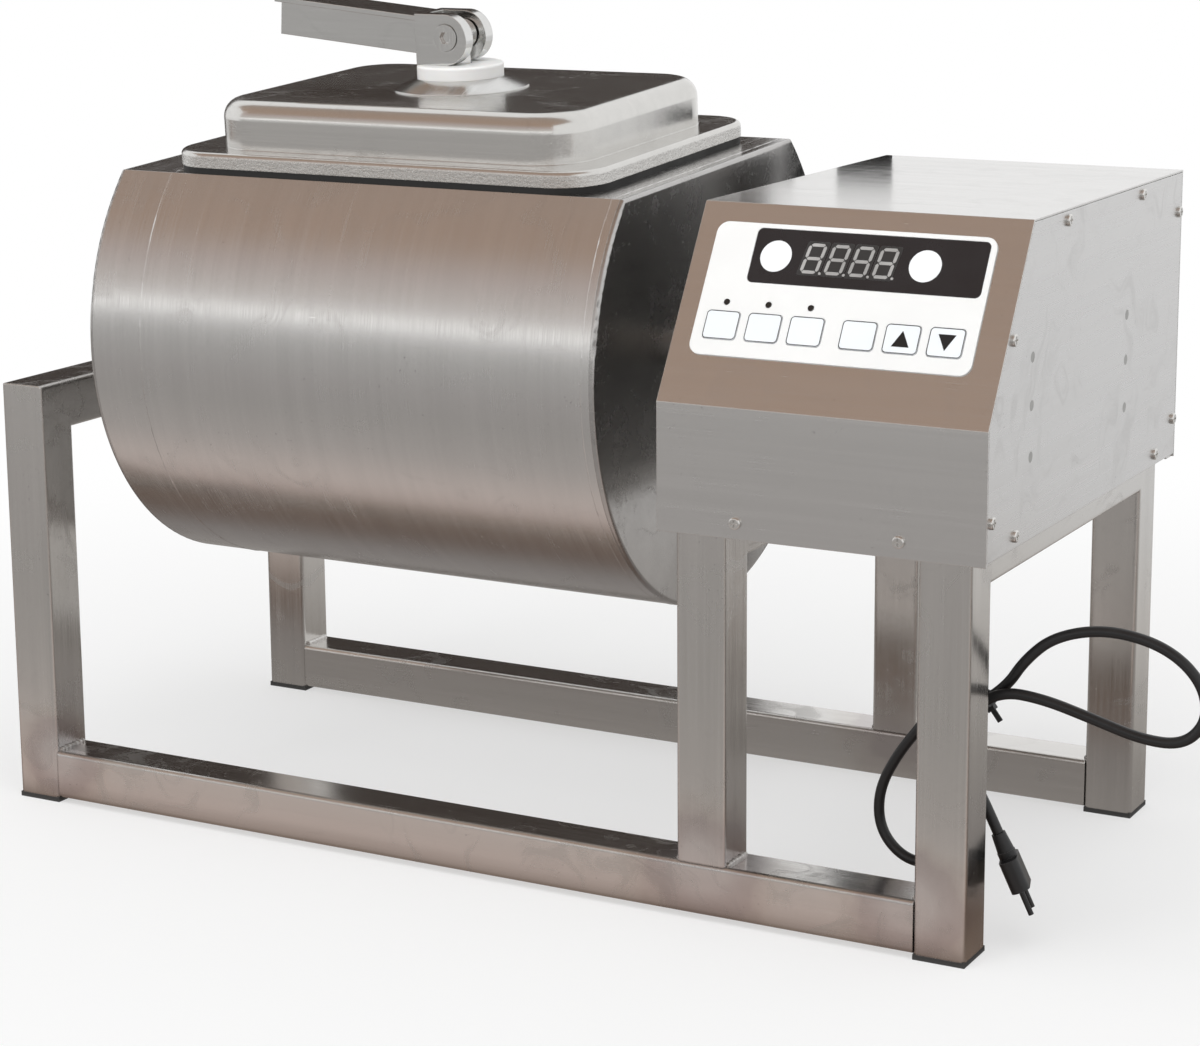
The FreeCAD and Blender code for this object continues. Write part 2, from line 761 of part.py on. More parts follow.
def lid_gasket():
    """The rubber ring in the lid's rim: a lip on the flat and a band up inside the rim."""
    body = new_body("lid_gasket")
    gap = "2 * (lid_wall + gasket_width)"
    lip = new_sketch(body, "gasket_lip_section", "XY_Plane")
    rounded_rectangle(lip, "lid_length - 2 * gasket_inset", "lid_width - 2 * gasket_inset",
                      "lid_corner - gasket_inset")
    rounded_rectangle(lip, "lid_length - " + gap, "lid_width - " + gap,
                      "lid_corner - lid_wall - gasket_width")
    feature(body, "Pad", "gasket_lip_pad", lip, "gasket_lip")
    band = new_sketch(body, "gasket_band_section", "XY_Plane", "gasket_lip")
    rounded_rectangle(band, "lid_length - 2 * lid_wall", "lid_width - 2 * lid_wall",
                      "lid_corner - lid_wall")
    rounded_rectangle(band, "lid_length - " + gap, "lid_width - " + gap,
                      "lid_corner - lid_wall - gasket_width")
    feature(body, "Pad", "gasket_band_pad", band, "lid_rim_depth - lid_wall")
    seat_on_lid(body)
    return piece(body, "lid_gasket")


def lid_block(name, low, length, width, corner, height, rounding=None):
    """A block with round corners over the drum's flat, its top edge rounded where asked."""
    body = new_body(name)
    section = new_sketch(body, name + "_section", "XY_Plane", low)
    rounded_rectangle(section, length, width, corner)
    feature(body, "Pad", name + "_pad", section, height)
    if rounding:
        place(name + "_top", "%s + %s" % (low, height))
        doc.recompute()
        round_edges(body, name + "_edge", rounding, in_plane(2, mm(name + "_top")))
    seat_on_lid(body)
    return body


def lid():
    """The pressed lid: a turned-down rim, a raised dome and the stud's hole."""
    rim = lid_block("lid_rim", "gasket_lip", "lid_length", "lid_width", "lid_corner", "lid_rim_depth",
                    "lid_rim_round")
    dome = lid_block("lid_dome", "lid_top_flange - lid_wall", "dome_length", "dome_width", "dome_corner",
                     "dome_height + lid_wall", "dome_round")
    under_rim = lid_block("lid_rim_hollow", "gasket_lip", "lid_length - 2 * lid_wall",
                          "lid_width - 2 * lid_wall",
                          "lid_corner - lid_wall", "lid_rim_depth - lid_wall")
    under_dome = lid_block("lid_dome_hollow", "gasket_lip", "dome_length - 2 * lid_wall",
                           "dome_width - 2 * lid_wall", "dome_corner - lid_wall",
                           "lid_rim_depth + dome_height - lid_wall", "dome_round - lid_wall")
    hole = cylinder("lid_stud_hole", "Z", "0", "0", "0", "stud_bore", "dome_top + lid_wall")
    seat_on_lid(hole)
    return piece(cut("lid", fuse("lid_pressed", rim, dome), under_rim, under_dome, hole), "lid")


def turned_ring(label, points, names=()):
    """A ring about the stud from its half profile in the XZ plane."""
    body = new_body(label)
    half = new_sketch(body, label + "_profile", "XZ_Plane")
    outline(half, points)
    revolve(body, label + "_turned", half, "V_Axis")
    for name, radius, axis, level in names:
        round_edges(body, name, radius, in_plane(axis, mm(level)))
    seat_on_lid(body)
    return piece(body, label)


lid_gasket()
lid()
turned_ring("lid_collar", [
    ("stud_bore", "dome_top"), ("collar_base_radius", "dome_top"), ("collar_base_radius", "dome_top + 1"),
    ("collar_top_radius", "collar_top"), ("stud_bore", "collar_top")])
turned_ring("nylon_washer", [
    ("stud_bore", "collar_top"), ("washer_radius", "collar_top"),
    ("washer_radius", "washer_top"), ("stud_bore", "washer_top")],
    [("nylon_washer_edge", "washer_round", 2, "washer_top")])


def clamp_stud():
    """The round stud with its eye for the lever's pin and its tail for the bar's nut."""
    tail = "bar_bottom - clamp_nut_height - stud_tail"
    shank = cylinder("stud_shank", "Z", "0", "0", tail, "stud_radius", "pin_height - (%s)" % tail)
    eye = cylinder("stud_eye", "Y", "0", "0 - stud_eye_width / 2", "pin_height", "stud_eye_radius",
                   "stud_eye_width")
    bore = cylinder("stud_eye_bore", "Y", "0", "0 - fork_width", "pin_height", "pin_radius",
                    "2 * fork_width")
    stud = cut("clamp_stud", fuse("stud_blank", shank, eye), bore)
    seat_on_lid(stud)
    return piece(stud, "clamp_stud")


def clamp_bar():
    """The cross bar that a quarter turn swings under the opening's rim."""
    body = new_body("clamp_bar")
    flat = new_sketch(body, "clamp_bar_section", "XY_Plane", "bar_bottom")
    rounded_rectangle(flat, "clamp_bar_length", "clamp_bar_width", "clamp_bar_width / 2 - 1")
    circle(flat, "stud_radius")
    feature(body, "Pad", "clamp_bar_pad", flat, "clamp_bar_height")
    seat_on_lid(body)
    return piece(body, "clamp_bar")


def hexagon(sketch, corner_radius):
    """A six-sided outline about the sketch's origin."""
    corners = []
    for step in range(6):
        corners.append(("(%s) * cos(%ddeg)" % (corner_radius, 60 * step),
                        "(%s) * sin(%ddeg)" % (corner_radius, 60 * step)))
    outline(sketch, corners)


def clamp_nut():
    """The hexagon nut that holds the bar up on the stud's tail."""
    body = new_body("clamp_nut")
    hexed = new_sketch(body, "clamp_nut_section", "XY_Plane", "bar_bottom - clamp_nut_height")
    hexagon(hexed, "clamp_nut_radius")
    circle(hexed, "stud_radius")
    feature(body, "Pad", "clamp_nut_pad", hexed, "clamp_nut_height")
    seat_on_lid(body)
    return piece(body, "clamp_nut")


def lever_pin():
    """The pin through the fork and the stud's eye, with a sunk head and a hexagon socket."""
    shank = cylinder("pin_shank", "Y", "0", "0 - fork_width / 2 + pin_recess", "pin_height",
                     "pin_radius - pin_fit", "fork_width - 2 * pin_recess")
    head = cylinder("pin_head", "Y", "0", "0 - fork_width / 2 - pin_head_thickness + pin_recess",
                    "pin_height",
                    "pin_head_radius", "pin_head_thickness")
    socket = doc.addObject("Part::Prism", "pin_socket")
    socket.Polygon = 6
    bind(socket, Circumradius="pin_radius - 0.8", Height="pin_head_thickness + 1")
    seat(socket, "0", "0 - fork_width / 2 - pin_head_thickness + pin_recess - 0.5", "pin_height",
         (1, 0, 0), "-90deg")
    pin = cut("lever_pin", fuse("pin_blank", shank, head), socket)
    seat_on_lid(pin)
    return piece(pin, "lever_pin")


def cam_lever():
    """Fork, eccentric cam and handle in one casting; a quarter turn of the eccentric frees the lid."""
    half = "0 - fork_width / 2"
    drop = "(cam_height - cam_gap - cam_radius)"
    back = "(cam_release - 0.6) / 2"
    cam = cylinder("lever_cam", "Y", "0 - " + back, half, "pin_height - " + drop, "cam_radius",
                   "fork_width")
    cheek = box("lever_cheek", "0 - fork_back", half, "pin_height - cam_height + cam_gap",
                "fork_back - " + back, "fork_width", "cam_height - cam_gap + fork_top")
    arm = doc.addObject("Part::Box", "lever_arm")
    bind(arm, Length="lever_length - fork_back + 6", Width="lever_width", Height="lever_height")
    tip_z = "pin_height - lever_height / 2 + (lever_length - fork_back) * sin(lever_rise * 1deg)"
    seat(arm, "0 - lever_length", "0 - lever_width / 2", tip_z, (0, 1, 0), "lever_rise * 1deg")
    cap = doc.addObject("Part::Box", "lever_cap")
    bind(cap, Length="lever_length - 8", Width="fork_width", Height="lever_cap")
    seat(cap, "0 - lever_length - lever_cap_overhang + lever_height * sin(lever_rise * 1deg)", half,
         tip_z + " + lever_height * cos(lever_rise * 1deg) - 0.6"
         " + lever_cap_overhang * sin(lever_rise * 1deg)",
         (0, 1, 0), "lever_rise * 1deg")
    slot = box("lever_slot", "0 - fork_gap", "0 - fork_gap / 2", "pin_height - 2 * cam_height",
               "3 * fork_gap", "fork_gap", "4 * cam_height")
    bore = cylinder("lever_bore", "Y", "0", "0 - fork_width", "pin_height", "pin_radius", "2 * fork_width")
    sink = cylinder("lever_sink", "Y", "0", "0 - fork_width / 2 - 1", "pin_height",
                    "pin_head_radius + pin_recess / 3", "pin_recess + 1")
    lever = cut("cam_lever", fuse("lever_blank", cam, cheek, arm, cap), slot, bore, sink)
    seat_on_lid(lever)
    return piece(lever, "cam_lever")


clamp_stud()
clamp_bar()
clamp_nut()
lever_pin()
cam_lever()


# ---- Bearings -------------------------------------------------------------------------------

def bearing_seat(label, middle_x, bottom, height, wall=None):
    """A plate, or a piece of square section, that lifts a bearing housing to the axle's height."""
    body = new_body(label)
    face = new_sketch(body, label + "_face", "XZ_Plane", "0 - axis_y - housing_foot_length / 2")
    low, high = "%s - tube_width / 2" % middle_x, "%s + tube_width / 2" % middle_x
    top = "%s + %s" % (bottom, height)
    outline(face, [(low, bottom), (high, bottom), (high, top), (low, top)])
    if wall:
        outline(face, [("%s + %s" % (low, wall), "%s + %s" % (bottom, wall)),
                       ("%s - %s" % (high, wall), "%s + %s" % (bottom, wall)),
                       ("%s - %s" % (high, wall), "%s - %s" % (top, wall)),
                       ("%s + %s" % (low, wall), "%s - %s" % (top, wall))])
    feature(body, "Pad", label + "_pad", face, "housing_foot_length")
    holes = new_sketch(body, label + "_bolt_holes", "XY_Plane", top)
    for way in ("-", "+"):
        circle(holes, "bolt_radius + bolt_hole_clearance", middle_x,
               "axis_y %s housing_bolt_spacing / 2" % way)
    feature(body, "Pocket", label + "_holes", holes, (wall or height) + " * 1.5")
    return piece(body, label)


def bearing_housing(label, middle_x):
    """A pillow block: a foot with two bolt holes and the round seat of the bearing."""
    foot_z = "axis_z - bearing_rise"
    foot = box(label + "_foot", "%s - housing_width / 2" % middle_x, "axis_y - housing_foot_length / 2",
               foot_z,
               "housing_width", "housing_foot_length", "housing_foot_height")
    web = box(label + "_web", "%s - bearing_width / 2" % middle_x, "axis_y - housing_radius", foot_z,
              "bearing_width", "2 * housing_radius", "bearing_rise")
    barrel = cylinder(label + "_barrel", "X", "%s - bearing_width / 2" % middle_x, "axis_y", "axis_z",
                      "housing_radius", "bearing_width")
    bore = cylinder(label + "_bore", "X", "%s - housing_width" % middle_x, "axis_y", "axis_z",
                    "bearing_outer_radius", "2 * housing_width")
    holes = [cylinder(label + "_hole_" + name, "Z", middle_x, "axis_y %s housing_bolt_spacing / 2" % way,
                      foot_z + " - 1", "bolt_radius + bolt_hole_clearance", "housing_foot_height + 2")
             for name, way in (("front", "-"), ("back", "+"))]
    return piece(cut(label, fuse(label + "_blank", foot, web, barrel), bore, *holes), label)


def bearing(label, middle_x):
    """The bearing, as one ring with a running fit on its axle."""
    low = "%s - bearing_width / 2" % middle_x
    ring = cylinder(label + "_ring", "X", low, "axis_y", "axis_z", "bearing_outer_radius", "bearing_width")
    bore = cylinder(label + "_bore", "X", low + " - 1", "axis_y", "axis_z", "axle_radius + bearing_fit",
                    "bearing_width + 2")
    return piece(cut(label, ring, bore), label)


def bearing_bolts():
    """Four hexagon bolts, two through the foot of each housing."""
    radius, head = mm("bolt_radius"), mm("bolt_head_radius")
    top = mm("axis_z") - mm("bearing_rise") + mm("housing_foot_height")
    reach = mm("housing_foot_height") + mm("bearing_seat_thickness") + mm("tube_wall") + mm("bolt_tail")
    bolts = []
    for middle_x in (mm("idle_bearing_x"), mm("drive_bearing_x")):
        for way in (-1, 1):
            spot = FreeCAD.Vector(middle_x, mm("axis_y") + way * mm("housing_bolt_spacing") / 2, top)
            corners = [spot + FreeCAD.Vector(head * math.cos(math.radians(a)),
                                             head * math.sin(math.radians(a)), 0)
                       for a in range(0, 361, 60)]
            rise = FreeCAD.Vector(0, 0, mm("bolt_head_height"))
            hexed = Part.Face(Part.makePolygon(corners)).extrude(rise)
            shank = Part.makeCylinder(radius, reach, spot - FreeCAD.Vector(0, 0, reach))
            bolts.append(hexed.fuse(shank))
    return piece(solid("bearing_bolts", Part.makeCompound(bolts)), "bearing_bolts")


bearing_seat("idle_bearing_seat", "idle_bearing_x", "idle_top", "bearing_seat_thickness")
bearing_seat("drive_bearing_riser", "drive_bearing_x", "pan_top", "axis_z - bearing_rise - pan_top",
             "bearing_seat_thickness")
bearing_housing("idle_bearing_housing", "idle_bearing_x")
bearing_housing("drive_bearing_housing", "drive_bearing_x")
bearing("idle_bearing", "idle_bearing_x")
bearing("drive_bearing", "drive_bearing_x")
bearing_bolts()


# ---- Drive cabinet --------------------------------------------------------------------------

def cabinet_side(inset, lift="0"):
    """The cabinet's side outline, moved inwards by a formula and lifted at its open bottom."""
    low = "cabinet_low_z + " + lift
    front, rear = "cabinet_front_y + (%s)" % inset, "cabinet_rear_y - (%s)" % inset
    return [(front, low), (front, "bend_z - (%s) * bend_step" % inset),
            ("cabinet_front_y + slope_depth + (%s) * brow_step" % inset, "cabinet_high_z - (%s)" % inset),
            (rear, "cabinet_high_z - (%s)" % inset), (rear, low)]


def slope_tool(name, across, up, radius):
    """A round cutter through the slope, from the tables' formulas of its middle."""
    tool = doc.addObject("Part::Cylinder", name)
    bind(tool, Radius=radius, Height="8 * sheet")
    seat_point_on_slope(tool, across, up, "0 - 4 * sheet")
    return tool


def seat_point_on_slope(obj, across, up, out):
    """Place an object at a point of the slope's own axes."""
    seat(obj, "cabinet_left_x + %s" % across,
         "cabinet_front_y + (%s) * slope_cosine - (%s) * slope_sine" % (up, out),
         "bend_z + (%s) * slope_sine + (%s) * slope_cosine" % (up, out),
         (1, 0, 0), "atan(slope_rise / slope_depth)")


KEYS = ["key_one", "key_two", "key_three", "key_four", "key_up", "key_down"]
LAMPS = range(3)
KEY_UP_Y = "(overlay_rise + key_rise + key_width / 2)"
LAMP_UP_Y = "(overlay_rise + lamp_rise)"
WINDOW_X = "(overlay_side_gap + window_side_gap + window_length / 2)"
WINDOW_Y = "(overlay_rise + window_rise + window_width / 2)"


def key_x(index):
    """The keys stand in two groups of three, with a wider gap between the groups."""
    return ("(overlay_side_gap + key_side_gap + key_length / 2 + %d * key_pitch + %d * key_group_gap)"
            % (index, index // 3))


def lamp_x(index):
    return "(overlay_side_gap + lamp_side_gap + %d * lamp_pitch)" % index


def cabinet_cover():
    """Front, slope, top and back in one folded sheet, with flanges for the side panels."""
    body = new_body("cover_folded")
    skin = new_sketch(body, "cover_skin", "YZ_Plane", "cabinet_left_x")
    outline(skin, cabinet_side("0") + list(reversed(cabinet_side("sheet"))))
    feature(body, "Pad", "cover_pad", skin, "cabinet_right_x - cabinet_left_x")
    for side, low_x in (("left", "cabinet_left_x + sheet"), ("right", "cabinet_right_x - 2 * sheet")):
        flange = new_sketch(body, "cover_flange_" + side, "YZ_Plane", low_x)
        outline(flange, cabinet_side("sheet") + list(reversed(cabinet_side("sheet + cabinet_flange"))))
        feature(body, "Pad", "cover_flange_pad_" + side, flange, "sheet")
        holes = new_sketch(body, "cover_flange_holes_" + side, "YZ_Plane", low_x)
        for letter in UPPER_SIDE_SCREWS:
            circle(holes, "screw_radius + screw_hole_clearance", "side_screw_y_" + letter,
                   "side_screw_z_" + letter)
        feature(body, "Pocket", "cover_flange_cut_" + side, holes, "sheet", True)
    front = new_sketch(body, "cover_screw_holes", "XZ_Plane", "0 - cabinet_front_y")
    for side in ("left", "right"):
        circle(front, "screw_radius + screw_hole_clearance", "cover_screw_%s_x" % side, "cover_screw_z")
    feature(body, "Pocket", "cover_screw_cut", front, "sheet * 2")
    tools = [slope_tool("stem_hole_%d" % i, key_x(i), KEY_UP_Y, "key_stem_radius + key_clearance")
             for i in range(len(KEYS))]
    tools += [slope_tool("lamp_hole_%d" % i, lamp_x(i), LAMP_UP_Y, "lamp_radius + 0.2") for i in LAMPS]
    window = doc.addObject("Part::Box", "display_cut")
    bind(window, Length="window_length - 2 * window_edge", Width="window_width - 2 * window_edge",
         Height="8 * sheet")
    seat_point_on_slope(window, WINDOW_X + " - window_length / 2 + window_edge",
                        WINDOW_Y + " - window_width / 2 + window_edge", "0 - 4 * sheet")
    return piece(cut("cabinet_cover", body, window, *tools), "cabinet_cover")


SIDE_SCREWS = {
    "a": ("side_front_y", "side_low_z + 28"),
    "b": ("cabinet_front_y + 0.45 * slope_depth + side_inset * slope_sine",
          "bend_z + 0.45 * slope_rise - side_inset * slope_cosine"),
    "c": ("cabinet_front_y + 0.36 * cabinet_depth", "side_high_z"),
    "d": ("cabinet_rear_y - 0.24 * cabinet_depth", "side_high_z"),
    "e": ("side_rear_y", "side_high_z - 24"),
    "f": ("side_rear_y", "side_low_z + 30"),
    "g": ("side_rear_y - 44", "side_low_z + 9"),
    "h": ("side_front_y + 46", "side_low_z + 9"),
}
UPPER_SIDE_SCREWS = "abcdef"
place("side_inset", "sheet + cabinet_flange / 2")
place("side_low_z", "cabinet_low_z + panel_lift")
place("side_high_z", "cabinet_high_z - side_inset")
place("side_front_y", "cabinet_front_y + side_inset")
place("side_rear_y", "cabinet_rear_y - side_inset")
for letter, (across, up) in SIDE_SCREWS.items():
    place("side_screw_y_" + letter, across)
    place("side_screw_z_" + letter, up)
place("cover_screw_z", "cabinet_low_z + 12")
place("cover_screw_left_x", "mid_x + tube_width + 9")
place("cover_screw_right_x", "right_x - 14")
STUD_ROWS = [("front", "0.20", "0.19"), ("rear", "0.69", "0.68")]
STUD_LEVELS = [("high", "0.58"), ("middle", "0.43"), ("low", "0.27")]
for column, share, _ in STUD_ROWS:
    place("clinch_y_" + column, "cabinet_front_y + %s * cabinet_depth" % share)
for level, share in STUD_LEVELS:
    place("clinch_z_" + level, "cabinet_low_z + %s * (cabinet_top - cabinet_bottom)" % share)
doc.recompute()


def side_panel(label, outer_x, low_x, port):
    """A flat panel let into the cover's side; the drum's side has a port for the axle."""
    body = new_body(label)
    face = new_sketch(body, label + "_outline", "YZ_Plane", low_x)
    outline(face, cabinet_side("sheet + panel_gap", "panel_lift"))
    if port:
        circle(face, "axle_radius + axle_port_clearance", "axis_y", "axis_z")
    else:
        for column, _, _ in STUD_ROWS:
            for level, _ in STUD_LEVELS:
                circle(face, "clinch_radius", "clinch_y_" + column, "clinch_z_" + level)
    for letter in SIDE_SCREWS:
        circle(face, "screw_radius + screw_hole_clearance", "side_screw_y_" + letter,
               "side_screw_z_" + letter)
    feature(body, "Pad", label + "_pad", face, "sheet")
    return piece(body, label)


def clinch_studs():
    """Six studs pressed into the right panel, whose flush heads show as dull spots."""
    studs = []
    for column, _, _ in STUD_ROWS:
        for level, _ in STUD_LEVELS:
            spot = FreeCAD.Vector(mm("cabinet_right_x"), mm("clinch_y_" + column), mm("clinch_z_" + level))
            inward = FreeCAD.Vector(-1, 0, 0)
            studs.append(Part.makeCylinder(mm("clinch_radius"), mm("clinch_length"), spot, inward))
    return piece(solid("panel_clinch_studs", Part.makeCompound(studs)), "panel_clinch_studs")


def floor_pan():
    """The cabinet's floor on the two beams, with turned-down edges that take the lower screws."""
    low_x, high_x = "cabinet_left_x + 2 * sheet", "cabinet_right_x - 2 * sheet"
    plate = box("pan_plate", low_x, "front_y", "drive_top", "%s - (%s)" % (high_x, low_x),
                "cabinet_depth - 2 * sheet", "sheet")
    clear = "(sheet + cabinet_flange + 2)"
    edges = [box("pan_edge_" + side, x, "front_y + " + clear, "drive_top - pan_flange_drop", "sheet",
                 "cabinet_depth - 2 * sheet - 2 * " + clear, "pan_flange_drop")
             for side, x in (("left", low_x), ("right", high_x + " - sheet"))]
    edges.append(box("pan_edge_front", "mid_x + tube_width + 1", "front_y", "drive_top - pan_flange_drop",
                     "right_x - mid_x - tube_width - 2", "sheet", "pan_flange_drop"))
    holes = [cylinder("pan_side_hole_" + letter, "X", "cabinet_left_x - 5", "side_screw_y_" + letter,
                      "side_screw_z_" + letter, "screw_radius + screw_hole_clearance",
                      "cabinet_right_x - cabinet_left_x + 10") for letter in "gh"]
    holes += [cylinder("pan_front_hole_" + side, "Y", "cover_screw_%s_x" % side, "front_y - 5",
                       "cover_screw_z",
                       "screw_radius + screw_hole_clearance", "12") for side in ("left", "right")]
    holes.append(cylinder("pan_gland_hole", "Z", "gland_x", "gland_y", "drive_top - 5",
                          "gland_thread_radius + screw_hole_clearance", "12"))
    return piece(cut("floor_pan", fuse("pan_blank", plate, *edges), *holes), "floor_pan")


def pan_head(x, y, z, along):
    """One pan-head screw with a cross slot; its head stands out against the direction along."""
    height, radius = mm("screw_head_height"), mm("screw_head_radius")
    head = Part.makeCylinder(radius, height)
    brow = [edge for edge in head.Edges if edge.BoundBox.ZMin > height - 0.01]
    head = head.makeFillet(0.5 * height, brow)
    shank = Part.makeCylinder(mm("screw_radius"), mm("screw_length"),
                              FreeCAD.Vector(0, 0, -mm("screw_length")))
    reach, slit = 0.6 * radius, 0.25 * radius
    cross = Part.makeBox(2 * reach, slit, height, FreeCAD.Vector(-reach, -slit / 2, 0.55 * height))
    cross = cross.fuse(Part.makeBox(slit, 2 * reach, height,
                                    FreeCAD.Vector(-slit / 2, -reach, 0.55 * height)))
    screw = head.fuse(shank).cut(cross)
    turn = FreeCAD.Rotation(FreeCAD.Vector(0, 0, -1), FreeCAD.Vector(*along))
    screw.Placement = FreeCAD.Placement(FreeCAD.Vector(x, y, z), turn)
    return screw


def pan_head_screws():
    """Two screws in the cover's front, eight in each side panel and four in the gearbox."""
    screws = [pan_head(mm("cover_screw_%s_x" % side), mm("cabinet_front_y"), mm("cover_screw_z"),
                       (0, 1, 0))
              for side in ("left", "right")]
    for x, way in (("cabinet_left_x", 1), ("cabinet_right_x", -1)):
        screws += [pan_head(mm(x), mm("side_screw_y_" + letter), mm("side_screw_z_" + letter), (way, 0, 0))
                   for letter in SIDE_SCREWS]
    reach = mm("gearbox_screw_reach")
    screws += [pan_head(mm("bracket_x"), mm("motor_y") + a * reach, mm("axis_z") + b * reach, (1, 0, 0))
               for a in (-1, 1) for b in (-1, 1)]
    return piece(solid("pan_head_screws", Part.makeCompound(screws)), "pan_head_screws")


cabinet_cover()
side_panel("left_side_panel", "cabinet_left_x", "cabinet_left_x", True)
side_panel("right_side_panel", "cabinet_right_x", "cabinet_right_x - sheet", False)
clinch_studs()
floor_pan()
pan_head_screws()


# ---- Control panel on the slope: x from the cabinet's left edge, y up it, z out of it --------

def panel_overlay():
    """The printed membrane with openings for the window, the keys and the lamps."""
    body = new_body("panel_overlay")
    edge = new_sketch(body, "overlay_edge", "XY_Plane", "0", "overlay_side_gap + overlay_length / 2",
                      "overlay_rise + overlay_width / 2")
    rounded_rectangle(edge, "overlay_length", "overlay_width", "overlay_corner")
    feature(body, "Pad", "overlay_pad", edge, "overlay_thickness")
    window = new_sketch(body, "overlay_window", "XY_Plane", "0", WINDOW_X, WINDOW_Y)
    rounded_rectangle(window, "window_length + 2 * window_clearance",
                      "window_width + 2 * window_clearance",
                      "overlay_corner / 2")
    feature(body, "Pocket", "overlay_window_cut", window, "overlay_thickness", True)
    for index, name in enumerate(KEYS):
        hole = new_sketch(body, name + "_opening", "XY_Plane", "0", key_x(index), KEY_UP_Y)
        rounded_rectangle(hole, "key_length + 2 * key_clearance", "key_width + 2 * key_clearance",
                          "key_corner + key_clearance")
        feature(body, "Pocket", name + "_opening_cut", hole, "overlay_thickness", True)
    lamps = new_sketch(body, "overlay_lamp_holes", "XY_Plane")
    for index in LAMPS:
        circle(lamps, "lamp_radius + 0.2", lamp_x(index), LAMP_UP_Y)
    feature(body, "Pocket", "overlay_lamp_cut", lamps, "overlay_thickness", True)
    seat_on_slope(body)
    return piece(body, "panel_overlay")


def display_window():
    """The dark lens over the figures."""
    body = new_body("display_window")
    edge = new_sketch(body, "display_window_edge", "XY_Plane", "0", WINDOW_X, WINDOW_Y)
    rounded_rectangle(edge, "window_length", "window_width", "overlay_corner / 2 - window_clearance")
    feature(body, "Pad", "display_window_pad", edge, "overlay_thickness - 0.1")
    seat_on_slope(body)
    return piece(body, "display_window")


def panel_key(index, name):
    """One key: a raised plate in the overlay on a stem that reaches a switch."""
    body = new_body(name)
    plate = new_sketch(body, name + "_plate", "XY_Plane", "key_lift", key_x(index), KEY_UP_Y)
    rounded_rectangle(plate, "key_length", "key_width", "key_corner")
    feature(body, "Pad", name + "_plate_pad", plate, "key_thickness")
    stem = new_sketch(body, name + "_stem", "XY_Plane", "key_lift", key_x(index), KEY_UP_Y)
    circle(stem, "key_stem_radius")
    feature(body, "Pad", name + "_stem_pad", stem,
            "key_lift + sheet + board_drop - switch_height - key_travel - 0.1",
            True)
    seat_on_slope(body)
    return piece(body, name)


def slope_bars(name, points, radius, low, high):
    """Round bars square to the slope, at pairs of formulas."""
    bars = []
    for number, (across, up) in enumerate(points):
        bar = doc.addObject("Part::Cylinder", "%s_%d" % (name, number))
        bind(bar, Radius=radius, Height="(%s) - (%s)" % (high, low))
        seat_point_on_slope(bar, across, up, low)
        bars.append(bar)
    return bars


def slope_block(name, across, up, out, length, width, height):
    """A block square to the slope about a middle point."""
    block = doc.addObject("Part::Box", name)
    bind(block, Length=length, Width=width, Height=height)
    seat_point_on_slope(block, "%s - (%s) / 2" % (across, length), "%s - (%s) / 2" % (up, width), out)
    return block


def panel_board():
    """The circuit board behind the slope, on four posts, with its display and six key switches."""
    plate = slope_block("board_plate", "(overlay_side_gap + overlay_length / 2)",
                        "(overlay_rise + overlay_width / 2)", "0 - sheet - board_drop - board_thickness",
                        "overlay_length - 6", "overlay_width - 8", "board_thickness")
    display = slope_block("board_display", WINDOW_X, WINDOW_Y, "0 - sheet - board_drop",
                          "window_length - 2 * window_edge - 2", "window_width - 2 * window_edge - 2",
                          "sheet + board_drop")
    corners = [("(overlay_side_gap + %s)" % across, "(overlay_rise + %s)" % up)
               for across in ("8", "overlay_length - 8") for up in ("9", "overlay_width - 9")]
    posts = slope_bars("board_post", corners, "key_stem_radius", "0 - sheet - board_drop", "0 - sheet")
    switches = [slope_block("switch_%d" % i, key_x(i), KEY_UP_Y, "0 - sheet - board_drop", "switch_size",
                            "switch_size", "switch_height") for i in range(len(KEYS))]
    return piece(fuse("panel_board", plate, display, *posts, *switches), "panel_board")


def indicator_lamps():
    """Three small lamps that stand on the board and show through the overlay."""
    points = [(lamp_x(index), LAMP_UP_Y) for index in LAMPS]
    lamps = slope_bars("lamp", points, "lamp_radius", "0 - sheet - board_drop",
                       "overlay_thickness + lamp_proud")
    return piece(group("indicator_lamps", *lamps), "indicator_lamps")


panel_overlay()
display_window()
for key_index, key_name in enumerate(KEYS):
    panel_key(key_index, key_name)
panel_board()
indicator_lamps()


# ---- Drive train and vacuum line ------------------------------------------------------------

